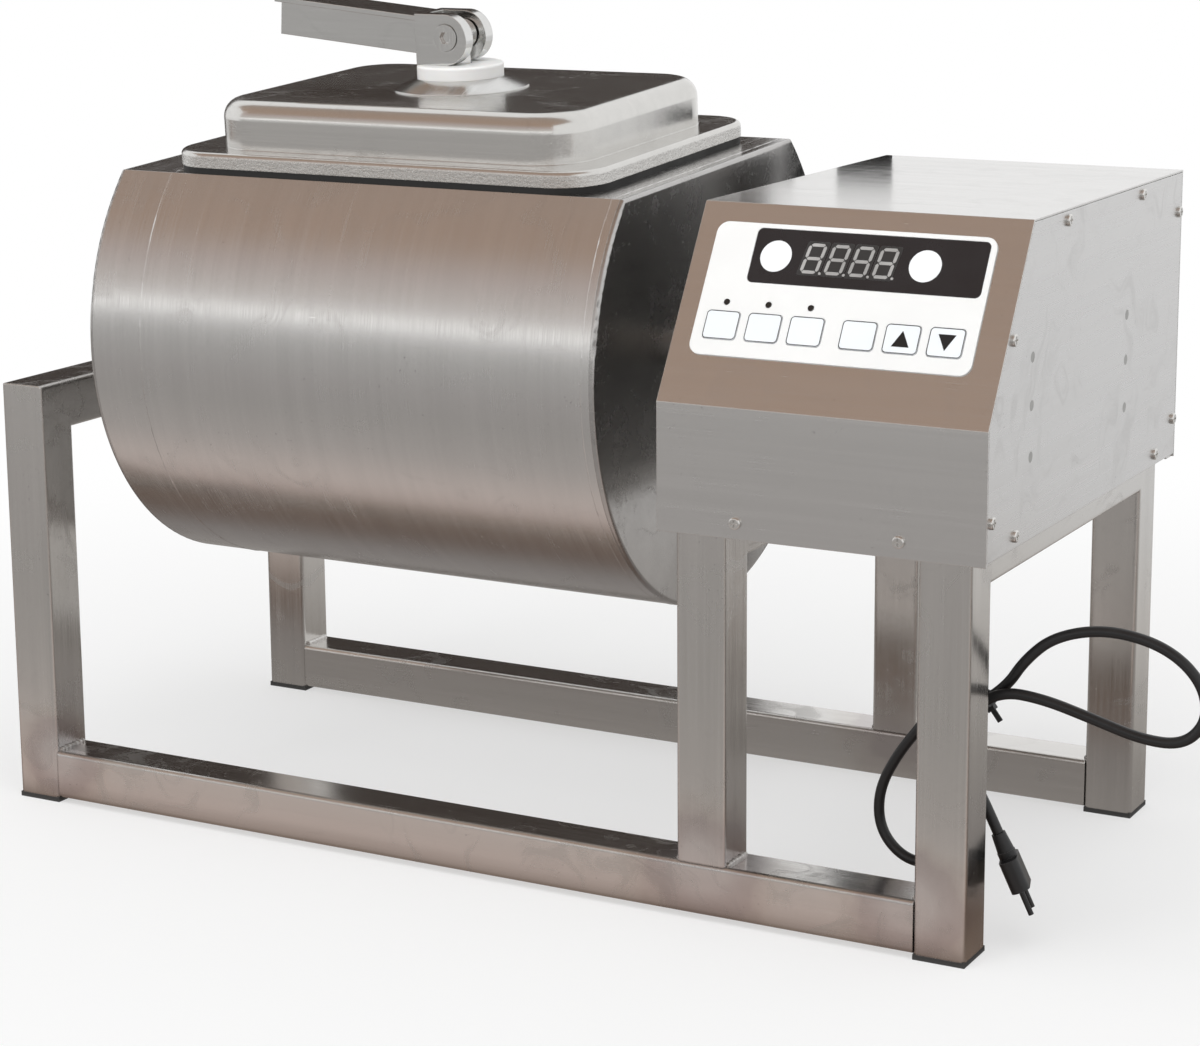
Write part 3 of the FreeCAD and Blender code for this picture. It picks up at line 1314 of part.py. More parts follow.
def involute_gear(teeth, width, bore, low_x, middle_y, first_angle, hub_radius=0.0, hub_length=0.0):
    """A spur gear about an X axis; first_angle is one tooth's middle, in degrees from +Y."""
    module, backlash = mm("gear_module"), mm("gear_backlash")
    pitch = module * teeth / 2
    base = pitch * math.cos(math.radians(20))
    tip, root = pitch + module, pitch - 1.25 * module
    half_tooth = (math.pi * module / 2 - backlash) / 2 / pitch
    roll_at_pitch = math.tan(math.radians(20)) - math.radians(20)
    flank = []
    low = max(root, base)
    for step in range(5):
        radius = low + (tip - low) * step / 4
        lean = math.acos(base / radius)
        flank.append((radius, half_tooth + roll_at_pitch - (math.tan(lean) - lean)))
    if root < base:
        flank.insert(0, (root, flank[0][1]))
    points = []
    for tooth in range(teeth):
        middle = math.radians(first_angle) + 2 * math.pi * tooth / teeth
        for radius, half in flank:
            points.append((radius, middle - half))
        for radius, half in reversed(flank):
            points.append((radius, middle + half))
    ring = [FreeCAD.Vector(low_x, middle_y + r * math.cos(a), mm("axis_z") + r * math.sin(a))
            for r, a in points]
    ring.append(ring[0])
    gear = Part.Face(Part.makePolygon(ring)).extrude(FreeCAD.Vector(width, 0, 0))
    middle = FreeCAD.Vector(low_x, middle_y, mm("axis_z"))
    along = FreeCAD.Vector(1, 0, 0)
    if hub_radius:
        start = middle - along * (hub_length - width)
        gear = gear.fuse(Part.makeCylinder(hub_radius, hub_length, start, along))
    if bore:
        gear = gear.cut(Part.makeCylinder(bore, 4 * width, middle - along * 2 * width, along))
    return gear


def gear_pair():
    """The large gear on the drum's axle and the pinion on the gearbox's shaft, in mesh at rest."""
    gear_low = mm("gear_x") - mm("gear_width") / 2
    gear = involute_gear(int(mm("gear_teeth")), mm("gear_width"), mm("axle_radius"), gear_low,
                         mm("axis_y"), 0,
                         mm("gear_hub_radius"), mm("gear_hub_length"))
    piece(solid("drive_gear", gear), "drive_gear")
    teeth = int(mm("pinion_teeth"))
    facing_gap = 180 + 180.0 / teeth
    pinion_low = mm("gear_x") - mm("pinion_width") / 2
    pinion = involute_gear(teeth, mm("pinion_width"), 0, pinion_low, mm("motor_y"), facing_gap)
    shaft = Part.makeCylinder(mm("output_shaft_radius"), mm("shaft_end_x") - pinion_low + 2,
                              FreeCAD.Vector(pinion_low - 2, mm("motor_y"), mm("axis_z")),
                              FreeCAD.Vector(1, 0, 0))
    piece(solid("pinion_shaft", pinion.fuse(shaft)), "pinion_shaft")


def gearbox():
    """The square reduction gearbox behind the bracket, with the bore of its shaft."""
    block = box("gearbox_block", "bracket_x + bracket_thickness", "motor_y - gearbox_size / 2",
                "axis_z - gearbox_size / 2", "gearbox_length", "gearbox_size", "gearbox_size")
    bore = cylinder("gearbox_bore", "X", "bracket_x", "motor_y", "axis_z",
                    "output_shaft_radius + output_shaft_fit",
                    "shaft_end_x - bracket_x + 0.3")
    holes = [cylinder("gearbox_hole_%d_%d" % (a, b), "X", "bracket_x",
                      "motor_y %s gearbox_screw_reach" % "-+"[a],
                      "axis_z %s gearbox_screw_reach" % "-+"[b], "screw_radius", "bracket_thickness + 10")
             for a in (0, 1) for b in (0, 1)]
    return piece(cut("gearbox", block, bore, *holes), "gearbox")


def drive_motor():
    """The round motor on the gearbox."""
    barrel = cylinder("drive_motor", "X", "bracket_x + bracket_thickness + gearbox_length", "motor_y",
                      "axis_z",
                      "motor_radius", "motor_length")
    return piece(barrel, "drive_motor")


def motor_bracket():
    """The angle plate on the floor pan that carries the gearbox."""
    wide = "gearbox_size + 10"
    wall = box("bracket_wall", "bracket_x", "motor_y - (%s) / 2" % wide, "pan_top", "bracket_thickness",
               wide,
               "axis_z + gearbox_size / 2 + 3 - pan_top")
    foot = box("bracket_foot_plate", "bracket_x", "motor_y - (%s) / 2" % wide, "pan_top",
               "bracket_foot", wide, "bracket_thickness")
    bore = cylinder("bracket_bore", "X", "bracket_x - 5", "motor_y", "axis_z", "output_shaft_radius + 6",
                    "20")
    holes = [cylinder("bracket_hole_%d_%d" % (a, b), "X", "bracket_x - 5",
                      "motor_y %s gearbox_screw_reach" % "-+"[a],
                      "axis_z %s gearbox_screw_reach" % "-+"[b], "screw_radius + screw_hole_clearance",
                      "20")
             for a in (0, 1) for b in (0, 1)]
    return piece(cut("motor_bracket", fuse("bracket_blank", wall, foot), bore, *holes), "motor_bracket")


def rotary_union():
    """The air joint on the axle's end: the axle turns in it and the hose leaves it."""
    low = "gear_x + gear_width / 2 + union_gap"
    shell = cylinder("union_shell", "X", low, "axis_y", "axis_z", "union_radius", "union_length")
    barb = cylinder("union_barb", "X", low + " + union_length", "axis_y", "axis_z", "barb_radius",
                    "barb_length")
    socket = cylinder("union_socket", "X", low + " - 1", "axis_y", "axis_z", "axle_radius + bearing_fit",
                      "axle_end_x - (%s) + 1.5" % low)
    air = cylinder("union_air", "X", low, "axis_y", "axis_z", "barb_radius - 1.5",
                   "union_length + barb_length + 2")
    return piece(cut("rotary_union", fuse("union_blank", shell, barb), socket, air), "rotary_union")


def rounded_path(points, share=0.45):
    """Straight runs joined by tangent arcs, each as large as its two runs allow."""
    edges, radii, start = [], [], points[0]
    for before, corner, after in zip(points, points[1:], points[2:]):
        back, ahead = before - corner, after - corner
        run = min(back.Length, ahead.Length)
        back.normalize()
        ahead.normalize()
        turn = math.pi - back.getAngle(ahead)
        trim = share * run
        entry, leave = corner + back * trim, corner + ahead * trim
        radius = trim / math.tan(turn / 2)
        bisector = back + ahead
        bisector.normalize()
        depth = radius / math.cos(turn / 2) - radius
        middle = corner + bisector * depth
        edges += [Part.LineSegment(start, entry).toShape(), Part.Arc(entry, middle, leave).toShape()]
        radii.append(radius)
        start = leave
    edges.append(Part.LineSegment(start, points[-1]).toShape())
    return Part.Wire(edges), radii


def swept_tube(points, outer, inner=0.0, share=0.45):
    """A tube along a rounded path."""
    path, radii = rounded_path(points, share)
    along = points[1] - points[0]
    tube = path.makePipeShell([Part.Wire(Part.makeCircle(outer, points[0], along))], True, True)
    if inner:
        tube = tube.cut(path.makePipeShell([Part.Wire(Part.makeCircle(inner, points[0], along))], True,
                                           True))
    return tube, path.Length, radii


def vacuum_hose():
    """The hose from the union's barb round to the pump's barb, pushed over both."""
    union_end = mm("gear_x") + mm("gear_width") / 2 + mm("union_gap") + mm("union_length")
    far_x = union_end + mm("barb_length") + 2 * mm("hose_bend")
    pump_z = mm("pump_port_z")
    points = [FreeCAD.Vector(union_end, mm("axis_y"), mm("axis_z")),
              FreeCAD.Vector(far_x, mm("axis_y"), mm("axis_z")),
              FreeCAD.Vector(far_x, mm("axis_y"), pump_z),
              FreeCAD.Vector(far_x, mm("pump_rear_y"), pump_z)]
    hose, _, _ = swept_tube(points, mm("hose_radius"), mm("barb_radius"))
    return piece(solid("vacuum_hose", hose), "vacuum_hose")


def vacuum_pump():
    """The pump head with its inlet barb, over a foot on the floor pan."""
    head = box("pump_head", "pump_port_x - pump_length / 2", "pump_rear_y - pump_width",
               "pan_top + pump_foot",
               "pump_length", "pump_width", "pump_height")
    foot = box("pump_foot_block", "pump_port_x - pump_length / 2 - 6", "pump_rear_y - pump_width + 8",
               "pan_top",
               "pump_length + 12", "pump_width - 16", "pump_foot")
    barb = cylinder("pump_barb", "Y", "pump_port_x", "pump_rear_y", "pump_port_z", "barb_radius",
                    "barb_length")
    air = cylinder("pump_air", "Y", "pump_port_x", "pump_rear_y - 10", "pump_port_z", "barb_radius - 1.5",
                   "barb_length + 12")
    return piece(cut("vacuum_pump", fuse("pump_blank", head, foot, barb), air), "vacuum_pump")


def pump_motor():
    """The pump's motor, on the head's left side."""
    barrel = cylinder("pump_motor", "X", "pump_port_x - pump_length / 2 - pump_motor_length",
                      "pump_rear_y - pump_width / 2", "pump_port_z", "pump_motor_radius",
                      "pump_motor_length")
    return piece(barrel, "pump_motor")


def control_board():
    """The power board on the cabinet's front wall, with its transformer, relays and terminals."""
    low_x, low_z = "mid_x + tube_width + power_board_gap", "pan_top + power_board_gap"
    back = "front_y + power_board_stand"
    length = "(right_x - mid_x - tube_width - 2 * power_board_gap)"
    height = "(bend_z - pan_top - 2 * power_board_stand + power_board_gap)"
    parts = [box("power_plate", low_x, back, low_z, length, "board_thickness", height)]
    left = "2 * parts_gap"
    for name, kind, room in (("transformer", "transformer", "2 * parts_gap"),
                             ("relay_a", "relay", "parts_gap"),
                             ("relay_b", "relay", "parts_gap"), ("terminals", "terminals", "parts_gap")):
        parts.append(box("power_" + name, "%s + %s" % (low_x, left), back + " + board_thickness",
                         low_z + " + board_margin", kind + "_length", kind + "_depth", kind + "_height"))
        left += " + %s_length + %s" % (kind, room)
    for a, across in enumerate(("board_margin", length + " - board_margin")):
        for b, up in enumerate(("board_margin", height + " - board_margin")):
            parts.append(cylinder("power_post_%d_%d" % (a, b), "Y", "%s + %s" % (low_x, across),
                                  "front_y", "%s + %s" % (low_z, up), "key_stem_radius",
                                  "power_board_stand"))
    return piece(fuse("control_board", *parts), "control_board")


gear_pair()
gearbox()
drive_motor()
motor_bracket()
rotary_union()
vacuum_hose()
vacuum_pump()
pump_motor()
control_board()


# ---- Supply cord ----------------------------------------------------------------------------

# Route of the cord's middle line after the gland: down behind the front post, the loop towards
# the drum, up through the tie, the wide loop outwards, back through the tie and down to the plug.
CORD_ROUTE = [
    (358.2, -128.45, 262), (362.5, -128, 237), (370.5, -127, 210), (370.5, -126.5, 182),
    (354, -126.5, 154), (331, -126, 124), (316, -125.5, 93), (318, -126, 63), (339, -128, 44),
    (367, -132, 46), (386, -135.5, 68), (391, -138.5, 99), (387, -140, 131), (394, -140.2, 171.5),
    (421, -140.2, 191.7), (433, -138, 212), (453, -134, 231), (487, -130, 240), (522, -128.5, 236),
    (547, -128, 224), (563, -128, 205), (565.5, -129, 182), (550, -131.5, 164), (521, -135.5, 165),
    (486, -141, 177), (451, -147, 188.5), (420, -149.6, 191), (394, -149.6, 171.5), (391, -151, 146),
    (400, -151.5, 124), (411, -150, 104), (420, -148.5, 84),
]
TIE_MIDDLE = (407.5, -144.9, 181.6)
TIE_WAY = (0.8, 0, 0.6)


def cord_gland():
    """The cable gland through the floor pan, tapering down to the cord."""
    top, pan = "pan_top + gland_nut_height", "pan_top"
    body = new_body("cord_gland")
    half = new_sketch(body, "cord_gland_profile", "XZ_Plane")
    outline(half, [("0", top), ("gland_radius", top), ("gland_radius", pan), ("gland_thread_radius", pan),
                   ("gland_thread_radius", "drive_top"), ("gland_radius", "drive_top"),
                   ("gland_radius", "drive_top - gland_nut_height"),
                   ("gland_radius - 2", "drive_top - gland_nut_height - 5"),
                   ("cord_radius + 1.2", "gland_low"), ("0", "gland_low")])
    revolve(body, "cord_gland_turned", half, "V_Axis")
    seat(body, "gland_x", "gland_y", "0")
    return piece(body, "cord_gland")


def power_cord():
    """The round rubber cord from the gland to the plug."""
    start = FreeCAD.Vector(mm("gland_x"), mm("gland_y"), mm("gland_low"))
    points = [start] + [FreeCAD.Vector(*point) for point in CORD_ROUTE]
    cord, length, radii = swept_tube(points, mm("cord_radius"))
    section = math.pi * mm("cord_radius") ** 2
    print("cord length %.0f, volume %.4f of its section times length" % (length,
                                                                         cord.Volume / section / length))
    print("cord radii " + " ".join("%.0f" % radius for radius in radii))
    piece(solid("power_cord", cord), "power_cord")
    return points


def cord_tie():
    """The flat tie round the two middle strands, with its lock and its loose end."""
    body = new_body("cord_tie")
    band = new_sketch(body, "cord_tie_section", "XY_Plane", "0 - tie_width / 2")
    across, along = "cord_radius + tie_clearance", "cord_radius + tie_clearance + strand_pitch / 2"
    rounded_rectangle(band, "2 * (%s + tie_thickness)" % across, "2 * (%s + tie_thickness)" % along,
                      "%s + tie_thickness - 0.2" % across)
    rounded_rectangle(band, "2 * (%s)" % across, "2 * (%s)" % along, "%s - 0.2" % across)
    feature(body, "Pad", "cord_tie_pad", band, "tie_width")
    lock = new_sketch(body, "cord_tie_lock", "XY_Plane", "0 - tie_width / 2 - 0.5",
                      across + " + tie_thickness + 1.5")
    rounded_rectangle(lock, "4", "6", "1")
    feature(body, "Pad", "cord_tie_lock_pad", lock, "tie_width + 1")
    loose = new_sketch(body, "cord_tie_end", "XY_Plane", "0 - tie_width / 2 + 0.5",
                       across + " + tie_thickness + 7")
    rounded_rectangle(loose, "12", "tie_thickness", "tie_thickness / 2 - 0.1")
    feature(body, "Pad", "cord_tie_end_pad", loose, "tie_width - 1")
    turn = FreeCAD.Rotation(FreeCAD.Vector(0, 0, 1), FreeCAD.Vector(*TIE_WAY))
    body.Placement = FreeCAD.Placement(FreeCAD.Vector(*TIE_MIDDLE), turn)
    return piece(body, "cord_tie")


def power_plug(before, end):
    """The flat moulded plug with its tapered boot and two round pins."""
    along = (end - before).normalize()
    top = "plug_boot + plug_shoulder"
    boot = doc.addObject("Part::Cone", "plug_boot_cone")
    bind(boot, Radius1="cord_radius + 1.2", Radius2="plug_thickness / 2 - 0.5", Height="plug_boot + 1")
    shoulder = doc.addObject("Part::Cylinder", "plug_shoulder_round")
    bind(shoulder, Radius="plug_thickness / 2 - 0.2", Height="plug_shoulder + 1")
    shoulder.setExpression("Placement.Base.z", tied("plug_boot"))
    body = new_body("plug_grip")
    grip = new_sketch(body, "plug_grip_section", "XY_Plane", top)
    rounded_rectangle(grip, "plug_thickness", "plug_width", "plug_thickness / 2 - 1")
    feature(body, "Pad", "plug_grip_pad", grip, "plug_grip")
    pins = []
    for name, side in (("plug_pin_near", "0 - plug_pin_pitch / 2"),
                       ("plug_pin_far", "plug_pin_pitch / 2")):
        pin = doc.addObject("Part::Cylinder", name)
        bind(pin, Radius="plug_pin_radius", Height="plug_pin_length + 1")
        pin.setExpression("Placement.Base.y", tied(side))
        pin.setExpression("Placement.Base.z", tied(top + " + plug_grip - 1"))
        pins.append(pin)
    plug = fuse("power_plug", boot, shoulder, body, *pins)
    plug.Placement = FreeCAD.Placement(end, FreeCAD.Rotation(FreeCAD.Vector(0, 0, 1), along))
    return piece(plug, "power_plug")


cord_gland()
cord_points = power_cord()
cord_tie()
power_plug(cord_points[-2], cord_points[-1])


# ---- Checks and files -----------------------------------------------------------------------

def check_and_write():
    """Stop on any failed object or shape, then write one STEP file for each node."""
    doc.recompute()
    for obj in doc.Objects:
        if "Invalid" in obj.State or "Error" in obj.State:
            raise RuntimeError("%s failed: %s" % (obj.Label, obj.State))
    for label, obj in PIECES.items():
        if obj.Shape.isNull() or not obj.Shape.isValid():
            raise RuntimeError("%s has no valid shape" % label)
    os.makedirs("parts", exist_ok=True)
    for label, obj in PIECES.items():
        obj.Shape.exportStep("parts/%s.step" % label)
    print("%d nodes written" % len(PIECES))


check_and_write()
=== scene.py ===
"""Meat vacuum tumbler: steel finishes, control panel print, weld beads and mains lead."""
import math

import bmesh
import bpy
from mathutils import Matrix, Vector


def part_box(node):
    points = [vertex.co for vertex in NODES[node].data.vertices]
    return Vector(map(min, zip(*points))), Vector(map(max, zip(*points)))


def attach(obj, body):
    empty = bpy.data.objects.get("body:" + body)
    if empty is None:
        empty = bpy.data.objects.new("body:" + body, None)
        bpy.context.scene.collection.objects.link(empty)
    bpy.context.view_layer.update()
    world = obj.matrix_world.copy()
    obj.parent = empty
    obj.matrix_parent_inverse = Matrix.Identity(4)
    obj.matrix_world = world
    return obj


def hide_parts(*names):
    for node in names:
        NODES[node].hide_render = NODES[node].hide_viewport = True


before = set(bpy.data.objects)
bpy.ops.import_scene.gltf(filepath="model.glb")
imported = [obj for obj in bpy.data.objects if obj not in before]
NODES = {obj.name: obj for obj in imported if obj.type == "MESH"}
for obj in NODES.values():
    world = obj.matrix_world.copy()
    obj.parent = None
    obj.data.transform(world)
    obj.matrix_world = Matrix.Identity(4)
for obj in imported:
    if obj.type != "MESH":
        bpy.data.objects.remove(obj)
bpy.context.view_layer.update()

# Lengths are in metres. The drum rests turned a little about its axle, and its lid leans with it.
AXLE = Vector((0.0, -0.00345, 0.3935))
REST_TURN = math.radians(3.4)
LID_SEAT = Vector((-0.1028, -0.01199, 0.53725))
LID_AXIS = Vector((0.0, -math.sin(REST_TURN), math.cos(REST_TURN)))
DRUM_LEFT, DRUM_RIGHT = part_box("drum_shell")[0].x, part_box("drum_shell")[1].x
TUBE = 0.040

# The control panel's own directions, and the left end of the fold along its foot.
PANEL_ACROSS = Vector((1.0, 0.0, 0.0))
PANEL_UP = Vector((0.0, 0.51264, 0.85861))
PANEL_OUT = Vector((0.0, -0.85861, 0.51264))
PANEL_FOLD = Vector((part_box("cabinet_cover")[0].x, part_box("cabinet_cover")[0].y, 0.391))


# ---- Camera and mains lead ------------------------------------------------------------------

def place_camera():
    yaw, pitch, roll = (math.radians(a) for a in (27.95, -11.81, -0.31))
    ahead = Vector((-math.sin(yaw) * math.cos(pitch), math.cos(yaw) * math.cos(pitch), math.sin(pitch)))
    level = Vector((math.cos(yaw), math.sin(yaw), 0.0))
    upright = level.cross(ahead)
    right = level * math.cos(roll) + upright * math.sin(roll)
    top = upright * math.cos(roll) - level * math.sin(roll)
    lens = bpy.data.cameras.new("front_left_camera")
    lens.lens, lens.sensor_width = 88.65, 36.0
    lens.shift_x, lens.shift_y = -0.0275, -0.0653
    camera = bpy.data.objects.new("front_left_camera", lens)
    bpy.context.collection.objects.link(camera)
    turn = Matrix((right, top, -ahead)).transposed().to_4x4()
    camera.matrix_world = Matrix.Translation((1.14057, -2.06626, 0.79687)) @ turn
    bpy.context.scene.camera = camera


LEAD_LENGTH, LEAD_DIAMETER = 0.932, 0.008
LEAD_EXIT = (0.3582, -0.12845, 0.2855)
LEAD_ROUTE = [
    (0.3582, -0.12845, 0.262), (0.3625, -0.128, 0.237), (0.3705, -0.127, 0.210), (0.3705, -0.1265, 0.182),
    (0.354, -0.1265, 0.154), (0.331, -0.126, 0.124), (0.316, -0.1255, 0.093), (0.318, -0.126, 0.063),
    (0.339, -0.128, 0.044), (0.367, -0.132, 0.046), (0.386, -0.1355, 0.068), (0.391, -0.1385, 0.099),
    (0.387, -0.140, 0.131), (0.394, -0.1402, 0.1715), (0.421, -0.1402, 0.1917), (0.433, -0.138, 0.212),
    (0.453, -0.134, 0.231), (0.487, -0.130, 0.240), (0.522, -0.1285, 0.236), (0.547, -0.128, 0.224),
    (0.563, -0.128, 0.205), (0.5655, -0.129, 0.182), (0.550, -0.1315, 0.164), (0.521, -0.1355, 0.165),
    (0.486, -0.141, 0.177), (0.451, -0.147, 0.1885), (0.420, -0.1496, 0.191), (0.394, -0.1496, 0.1715),
    (0.391, -0.151, 0.146), (0.400, -0.1515, 0.124), (0.411, -0.150, 0.104), (0.420, -0.1485, 0.084)]


def mains_lead():
    """The black mains lead from the gland, looped up and tied round itself."""
    curve = bpy.data.curves.new("mains_lead", "CURVE")
    curve.dimensions, curve.resolution_u = "3D", 10
    run = curve.splines.new("NURBS")
    run.points.add(len(LEAD_ROUTE))
    for point, place in zip(run.points, [LEAD_EXIT] + LEAD_ROUTE):
        point.co, point.radius = (*place, 1.0), LEAD_DIAMETER / 2
    run.order_u, run.use_endpoint_u = 3, True
    curve.bevel_depth, curve.bevel_resolution, curve.use_fill_caps = 1.0, 5, True
    lead = bpy.data.objects.new("mains_lead", curve)
    bpy.context.collection.objects.link(lead)
    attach(lead, "frame")
    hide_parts("power_cord")
    return lead


# ---- Shader nodes ---------------------------------------------------------------------------

def add(tree, kind, inputs=(), **settings):
    """One node with its settings; each input is a number or another node's output."""
    node = tree.nodes.new("ShaderNode" + kind)
    for name, value in settings.items():
        setattr(node, name, value)
    for name, value in dict(inputs).items():
        if isinstance(value, bpy.types.NodeSocket):
            tree.links.new(value, node.inputs[name])
        else:
            node.inputs[name].default_value = value
    return node


def calc(tree, operation, first, second=0.0, third=0.0, clamp=False):
    return add(tree, "Math", {0: first, 1: second, 2: third}, operation=operation,
               use_clamp=clamp).outputs[0]


def ramp(tree, value, low, high, to_low=0.0, to_high=1.0):
    return add(tree, "MapRange", {"Value": value, "From Min": low, "From Max": high, "To Min": to_low,
                                  "To Max": to_high}, interpolation_type="SMOOTHSTEP").outputs[0]


def noise(tree, where, scale, detail=2.0, roughness=0.5):
    return add(tree, "TexNoise", {"Vector": where, "Scale": scale, "Detail": detail,
                                  "Roughness": roughness}).outputs["Fac"]


def blend_colour(tree, share, first, second, blend_type="MIX"):
    return add(tree, "MixRGB", {"Fac": share, "Color1": first, "Color2": second},
               blend_type=blend_type).outputs[0]


def new_group(name, takes, gives):
    """A node group with its sockets: each is (name, type) or (name, type, value)."""
    tree = bpy.data.node_groups.new(name, "ShaderNodeTree")
    for way, sockets in (("INPUT", takes), ("OUTPUT", gives)):
        for title, kind, *value in sockets:
            socket = tree.interface.new_socket(title, in_out=way, socket_type="NodeSocket" + kind)
            if value:
                socket.default_value = value[0]
    return tree, tree.nodes.new("NodeGroupInput").outputs, tree.nodes.new("NodeGroupOutput").inputs


def brush_lines_group():
    """Fine parallel lines left by a brushing belt, and the broader streaks among them."""
    tree, taken, given = new_group("brush_lines", [("Across", "Vector", (900, 6, 900))],
                                   [("Fine", "Float"), ("Broad", "Float")])
    place = add(tree, "TexCoord").outputs["Object"]
    fine = add(tree, "VectorMath", {0: place, 1: taken["Across"]}, operation="MULTIPLY").outputs[0]
    broad = add(tree, "VectorMath", {0: fine, 1: (0.11, 0.11, 0.11)}, operation="MULTIPLY").outputs[0]
    tree.links.new(noise(tree, fine, 1.0, 3.0, 0.7), given["Fine"])
    tree.links.new(noise(tree, broad, 1.0, 2.0, 0.6), given["Broad"])
    return tree


def handling_marks_group():
    """Cloudy wiping smears, small specks and a few short scratches."""
    tree, taken, given = new_group("handling_marks", [("Size", "Float", 14.0)],
                                   [("Smears", "Float"), ("Specks", "Float"), ("Scratches", "Float")])
    place = add(tree, "TexCoord").outputs["Object"]
    warp = noise(tree, place, 5.0, 3.0, 0.6)
    bent = add(tree, "VectorMath", {0: place, 1: add(tree, "CombineXYZ", {0: warp, 1: warp}).outputs[0]},
               operation="ADD").outputs[0]
    cloudy = noise(tree, bent, taken["Size"], 5.0, 0.62)
    tree.links.new(ramp(tree, cloudy, 0.46, 0.72), given["Smears"])
    grains = noise(tree, place, 420.0, 2.0, 0.5)
    where = noise(tree, place, 11.0, 2.0, 0.5)
    specks = calc(tree, "MULTIPLY", ramp(tree, grains, 0.68, 0.76), ramp(tree, where, 0.45, 0.65))
    tree.links.new(specks, given["Specks"])
    slanted = add(tree, "Mapping", {"Vector": place, "Rotation": (0.5, 0.4, 0.3),
                                    "Scale": (26.0, 640.0, 640.0)}).outputs[0]
    hairs = ramp(tree, noise(tree, slanted, 1.0, 1.0), 0.70, 0.76)
    tree.links.new(calc(tree, "MULTIPLY", hairs, ramp(tree, where, 0.52, 0.6)), given["Scratches"])
    return tree


def eased_edges_group():
    """Edges as the eye sees them: slightly round, with a mask along them that the finishes make paler; on
    steel this is a painted highlight.
    """
    tree, taken, given = new_group("eased_edges", [("Radius", "Float", 0.0008)],
                                   [("Edge", "Float"), ("Normal", "Vector")])
    soft = add(tree, "Bevel", {"Radius": taken["Radius"]}, samples=4).outputs[0]
    true = add(tree, "NewGeometry").outputs["Normal"]
    facing = add(tree, "VectorMath", {0: soft, 1: true}, operation="DOT_PRODUCT").outputs["Value"]
    tree.links.new(ramp(tree, facing, 0.995, 0.86), given["Edge"])
    tree.links.new(soft, given["Normal"])
    return tree


def weld_heat_group():
    """The straw and blue-grey bloom round a weld, strongest at its own place."""
    tree, taken, given = new_group("weld_heat", [("Weld", "Vector"), ("Reach", "Float", 0.04)],
                                   [("Bloom", "Float"), ("Tint", "Color")])
    place = add(tree, "TexCoord").outputs["Object"]
    far = add(tree, "VectorMath", {0: place, 1: taken["Weld"]}, operation="DISTANCE").outputs["Value"]
    uneven = calc(tree, "MULTIPLY_ADD", noise(tree, place, 45.0, 3.0), 0.5, 0.75)
    share = calc(tree, "DIVIDE", calc(tree, "MULTIPLY", far, uneven), taken["Reach"])
    tree.links.new(ramp(tree, share, 1.0, 0.35), given["Bloom"])
    bands = add(tree, "ValToRGB", {"Fac": share})
    stops = bands.color_ramp.elements
    stops[0].position, stops[0].color = 0.25, (0.92, 0.92, 0.94, 1)
    stops[1].position, stops[1].color = 1.0, (0.95, 0.89, 0.80, 1)
    middle = stops.new(0.6)
    middle.color = (0.72, 0.67, 0.68, 1)
    tree.links.new(bands.outputs[0], given["Tint"])
    return tree


def moulded_skin_group():
    """The fine dimpled skin of moulded, cast and painted surfaces."""
    tree, taken, given = new_group("moulded_skin", [("Dimples", "Float", 900.0)],
                                   [("Skin", "Float"), ("Cloud", "Float")])
    place = add(tree, "TexCoord").outputs["Object"]
    tree.links.new(noise(tree, place, taken["Dimples"], 3.0, 0.6), given["Skin"])
    tree.links.new(noise(tree, place, 30.0, 3.0, 0.55), given["Cloud"])
    return tree


BRUSH_LINES = brush_lines_group()
HANDLING_MARKS = handling_marks_group()
EASED_EDGES = eased_edges_group()
WELD_HEAT = weld_heat_group()
MOULDED_SKIN = moulded_skin_group()


def use(tree, group, **inputs):
    return add(tree, "Group", inputs, node_tree=group).outputs


def new_finish(name):
    finish = bpy.data.materials.new(name)
    finish.use_nodes = True
    return finish, finish.node_tree, finish.node_tree.nodes["Principled BSDF"]


